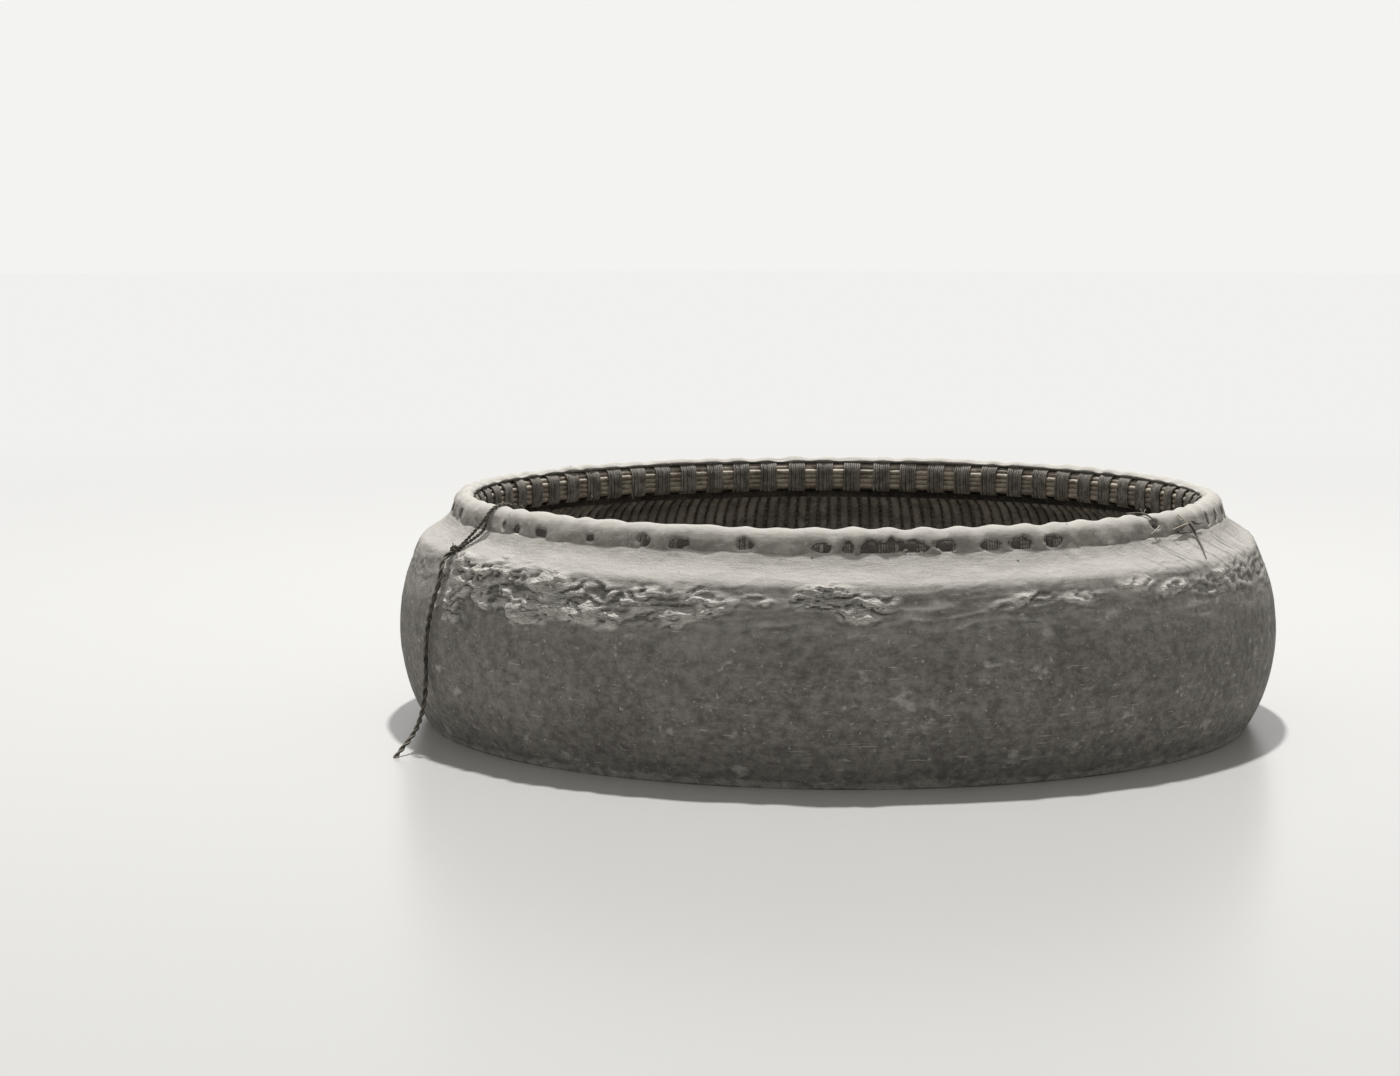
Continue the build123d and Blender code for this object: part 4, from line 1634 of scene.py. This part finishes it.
@dataclass
class LooseEnds:
    """Ends of cord, twigs and straws that stick out of the rim, each with points (bearing, radius, height).

    Attributes:
        cords: Radius and points of each dark end of cord.
        straws: Radius and points of each pale straw.
    """

    cords: tuple[End, ...] = (
        (0.0044, (
            (315.4, 1.318, 1.083), (316.7, 1.346, 1.086), (317.4, 1.361, 1.083), (317.5, 1.381, 1.074),
            (317.9, 1.396, 1.058),
        )),
        (0.0042, (
            (326.3, 1.403, 1.037), (324.7, 1.409, 1.028), (322.7, 1.411, 1.021), (322.6, 1.416, 1.011),
            (325.4, 1.416, 1.009),
        )),
        (0.0046, (
            (326.4, 1.403, 1.042), (326.9, 1.410, 1.028), (327.6, 1.420, 1.001), (327.0, 1.436, 0.982),
            (326.5, 1.452, 0.968),
        )),
        (0.0036, (
            (326.5, 1.452, 0.968), (325.6, 1.472, 0.956), (324.4, 1.492, 0.942), (323.6, 1.510, 0.929),
        )),
        (0.0042, ((328.1, 1.404, 1.039), (329.0, 1.409, 1.028), (330.7, 1.409, 1.027))),
        (0.0030, ((203.9, 1.486, 0.947), (205.7, 1.497, 0.941), (207.2, 1.508, 0.933))),
        (0.0030, ((207.9, 1.514, 0.927), (209.3, 1.527, 0.914), (209.9, 1.535, 0.901))),
        (0.0018, (
            (211.2, 1.340, 1.080), (211.5, 1.338, 1.096), (212.1, 1.336, 1.095), (212.5, 1.335, 1.080),
        )),
        (0.0016, (
            (212.8, 1.335, 1.079), (213.1, 1.333, 1.094), (213.7, 1.332, 1.092), (214.0, 1.331, 1.079),
        )),
    )
    straws: tuple[End, ...] = (
        (0.0026, ((318.6, 1.402, 1.043), (317.3, 1.408, 1.031), (316.0, 1.411, 1.020))),
        (0.0026, ((324.4, 1.388, 1.068), (325.3, 1.400, 1.052), (326.2, 1.407, 1.038))),
        (0.0024, ((326.4, 1.408, 1.037), (323.7, 1.410, 1.032), (321.4, 1.411, 1.025))),
        (0.0016, ((317.6, 1.352, 1.080), (317.4, 1.350, 1.090), (317.0, 1.349, 1.099))),
        (0.0016, ((317.7, 1.352, 1.080), (317.9, 1.350, 1.090), (318.3, 1.350, 1.097))),
        (0.0022, ((135.6, 1.297, 0.962), (133.4, 1.340, 0.938), (131.6, 1.392, 0.910))),
        (0.0018, ((126.7, 1.300, 0.980), (126.5, 1.295, 0.957), (126.2, 1.297, 0.930))),
    )

    def build(self) -> None:
        """Makes the loose cords and the straws."""
        for name, finish, slot, ends in (
            ("loose_cords", "rope", Slot.PALM_CORD, self.cords),
            ("loose_straws", "withy", Slot.WITHY, self.straws),
        ):
            tubes = []
            for radius, corners in ends:
                bearing, reach, height = np.array(corners).T
                turn = np.radians(bearing)
                path = rounded(np.stack([reach * np.cos(turn), reach * np.sin(turn), height], 1), 2)
                tubes.append(tube(path, radius * np.linspace(1.0, 0.7, len(path)), 6))
            dressed(all_joined(tubes).piece(name), finish, slot)


# Scene


@dataclass
class Floorboards:
    """The two crossing layers of floor strips, kept from the CAD with a wood finish, the lower layer painted
    darker as shade under the upper one.
    """

    def build(self) -> None:
        """Gives both layers their finish."""
        for name, finish in (("floor_strips_lower", "under_board"), ("floor_strips_upper", "board")):
            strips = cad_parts[name].data
            strips.materials.clear()
            strips.materials.append(MATERIALS[finish])


def backdrop_rays(nodes: Nodes) -> Socket:
    """Picks the rays that see the pale backdrop.

    Args:
        nodes: Adds nodes to the world or the material.

    Returns:
        1 for rays of the camera, of gloss and of glass, and 0 for the light that falls on the object.
    """
    rays = nodes.add("ShaderNodeLightPath").outputs
    seen = nodes.math("MAXIMUM", rays["Is Camera Ray"], rays["Is Glossy Ray"])
    return nodes.math("MAXIMUM", seen, rays["Is Transmission Ray"])


@dataclass
class Studio:
    """Camera, lights, world and the pale floor at the waterline.

    Attributes:
        place: Place of the camera.
        tilt: How far the camera looks down, in degrees.
        lens: Focal length in millimetres.
        sensor: Width of the sensor in millimetres.
        world_colour: Colour of the world.
        world_light: Strength of the world's light on the object.
        world_seen: Strength that the world shows to the camera.
        lamps: Name, place, size and power of each lamp.
        floor_radii: Radii of the floor's rings, from the hole inside the hull outwards.
        floor_columns: Points round the floor.
        floor_colour: Colour of the floor near the hull.
        floor_roughness: Roughness of the floor.
        backdrop: Colour that the floor shows far from the hull.
        fade: Distances from the axis at which the backdrop begins and at which nothing else shows.
    """

    place: Triple = (-0.4987, -11.385, 2.1828)
    tilt: float = 6.4417
    lens: float = 80.21
    sensor: float = 36.0
    world_colour: Triple = (0.98, 0.975, 0.96)
    world_light: float = 0.34
    world_seen: float = 0.92
    lamps: tuple[tuple[str, Triple, float, float], ...] = (
        ("high_key", (0.3, 5.2, 20.0), 1.0, 4700),
        ("front_fill", (-6.0, -9.0, 4.0), 6.0, 40),
    )
    floor_radii: tuple[float, ...] = (1.455, 2.0, 4.0, 12.0, 60.0)
    floor_columns: int = 144
    floor_colour: Triple = (0.60, 0.595, 0.575)
    floor_roughness: float = 0.28
    backdrop: Triple = (0.88, 0.875, 0.86)
    fade: Pair = (3.2, 14.0)

    def camera(self) -> None:
        """Puts the camera where the photograph was taken."""
        data = bpy.data.cameras.new("camera")
        data.lens = self.lens
        data.sensor_width = self.sensor
        data.sensor_fit = "HORIZONTAL"
        data.clip_end = 300
        obj = bpy.data.objects.new("camera", data)
        obj.location = self.place
        obj.rotation_euler = (radians(90 - self.tilt), 0, 0)
        bpy.context.collection.objects.link(obj)
        bpy.context.scene.camera = obj

    def lamp(self, name: str, place: Triple, size: float, power: float) -> None:
        """Adds a square soft lamp that looks at the middle of the hull.

        Args:
            name: Name of the lamp.
            place: Its place.
            size: Length of its sides.
            power: Its power in watts.
        """
        data = bpy.data.lights.new(name, "AREA")
        data.size = size
        data.energy = power
        obj = bpy.data.objects.new(name, data)
        obj.location = place
        obj.rotation_euler = (Vector((0, 0, 0.6)) - Vector(place)).to_track_quat("-Z", "Y").to_euler()
        bpy.context.collection.objects.link(obj)

    def world(self) -> None:
        """Sets an even pale world that lights gently and shows white to the camera."""
        world = bpy.data.worlds.new("world")
        world.use_nodes = True
        bpy.context.scene.world = world
        nodes = Nodes(world.node_tree)
        background = world.node_tree.nodes["Background"]
        strength = nodes.plus(self.world_light, backdrop_rays(nodes), self.world_seen - self.world_light)
        background.inputs["Color"].default_value = (*self.world_colour, 1)
        nodes.link(strength, background.inputs["Strength"])

    def floor(self) -> None:
        """Makes the pale floor at the waterline, open inside the hull."""
        columns = np.arange(self.floor_columns)
        turn = columns * 2 * pi / self.floor_columns
        ring = np.stack([np.cos(turn), np.sin(turn), 0 * turn], 1)
        points = [ring * radius + [0, 0, WATERLINE] for radius in self.floor_radii]
        faces = []
        for low in range(0, (len(points) - 1) * self.floor_columns, self.floor_columns):
            high = low + self.floor_columns
            for k, after in zip(columns.tolist(), np.roll(columns, -1).tolist()):
                faces.append((low + k, high + k, high + after, low + after))
        obj = Surface(np.concatenate(points), faces).piece("floor")
        material = bpy.data.materials.new("pale_floor")
        material.use_nodes = True
        shader = material.node_tree.nodes["Principled BSDF"]
        shader.inputs["Base Color"].default_value = (*self.floor_colour, 1)
        shader.inputs["Roughness"].default_value = self.floor_roughness
        nodes = Nodes(material.node_tree)
        reach = nodes.vector_math("LENGTH", {0: nodes.add("ShaderNodeTexCoord").outputs["Object"]})["Value"]
        seen = nodes.times(nodes.ramp(reach, *self.fade), backdrop_rays(nodes))
        pale = nodes.add("ShaderNodeEmission", {"Color": (*self.backdrop, 1), "Strength": 1.0})
        mixed = nodes.add("ShaderNodeMixShader", {0: seen, 1: shader.outputs[0], 2: pale.outputs[0]})
        nodes.link(mixed.outputs[0], material.node_tree.nodes["Material Output"].inputs["Surface"])
        obj.data.materials.append(material)

    def build(self) -> None:
        """Sets up the view."""
        self.camera()
        for lamp in self.lamps:
            self.lamp(*lamp)
        self.world()
        self.floor()
        bpy.context.scene.view_settings.view_transform = "Standard"


def main() -> None:
    """Builds the scene, one sub-assembly after the other."""
    GROUPS.update(mottle=mottle_group(), dust=dust_group(), streaks=streaks_group(), ring=ring_tree())
    MATERIALS.update({name: finish.material() for name, finish in FINISHES.items()})
    for part in (Studio(), Painter(), Coat(), Basket(), Gunwale(), LooseEnds(), Floorboards()):
        log.info("building %s", type(part).__name__)
        part.build()


if __name__ == "__main__":
    main()
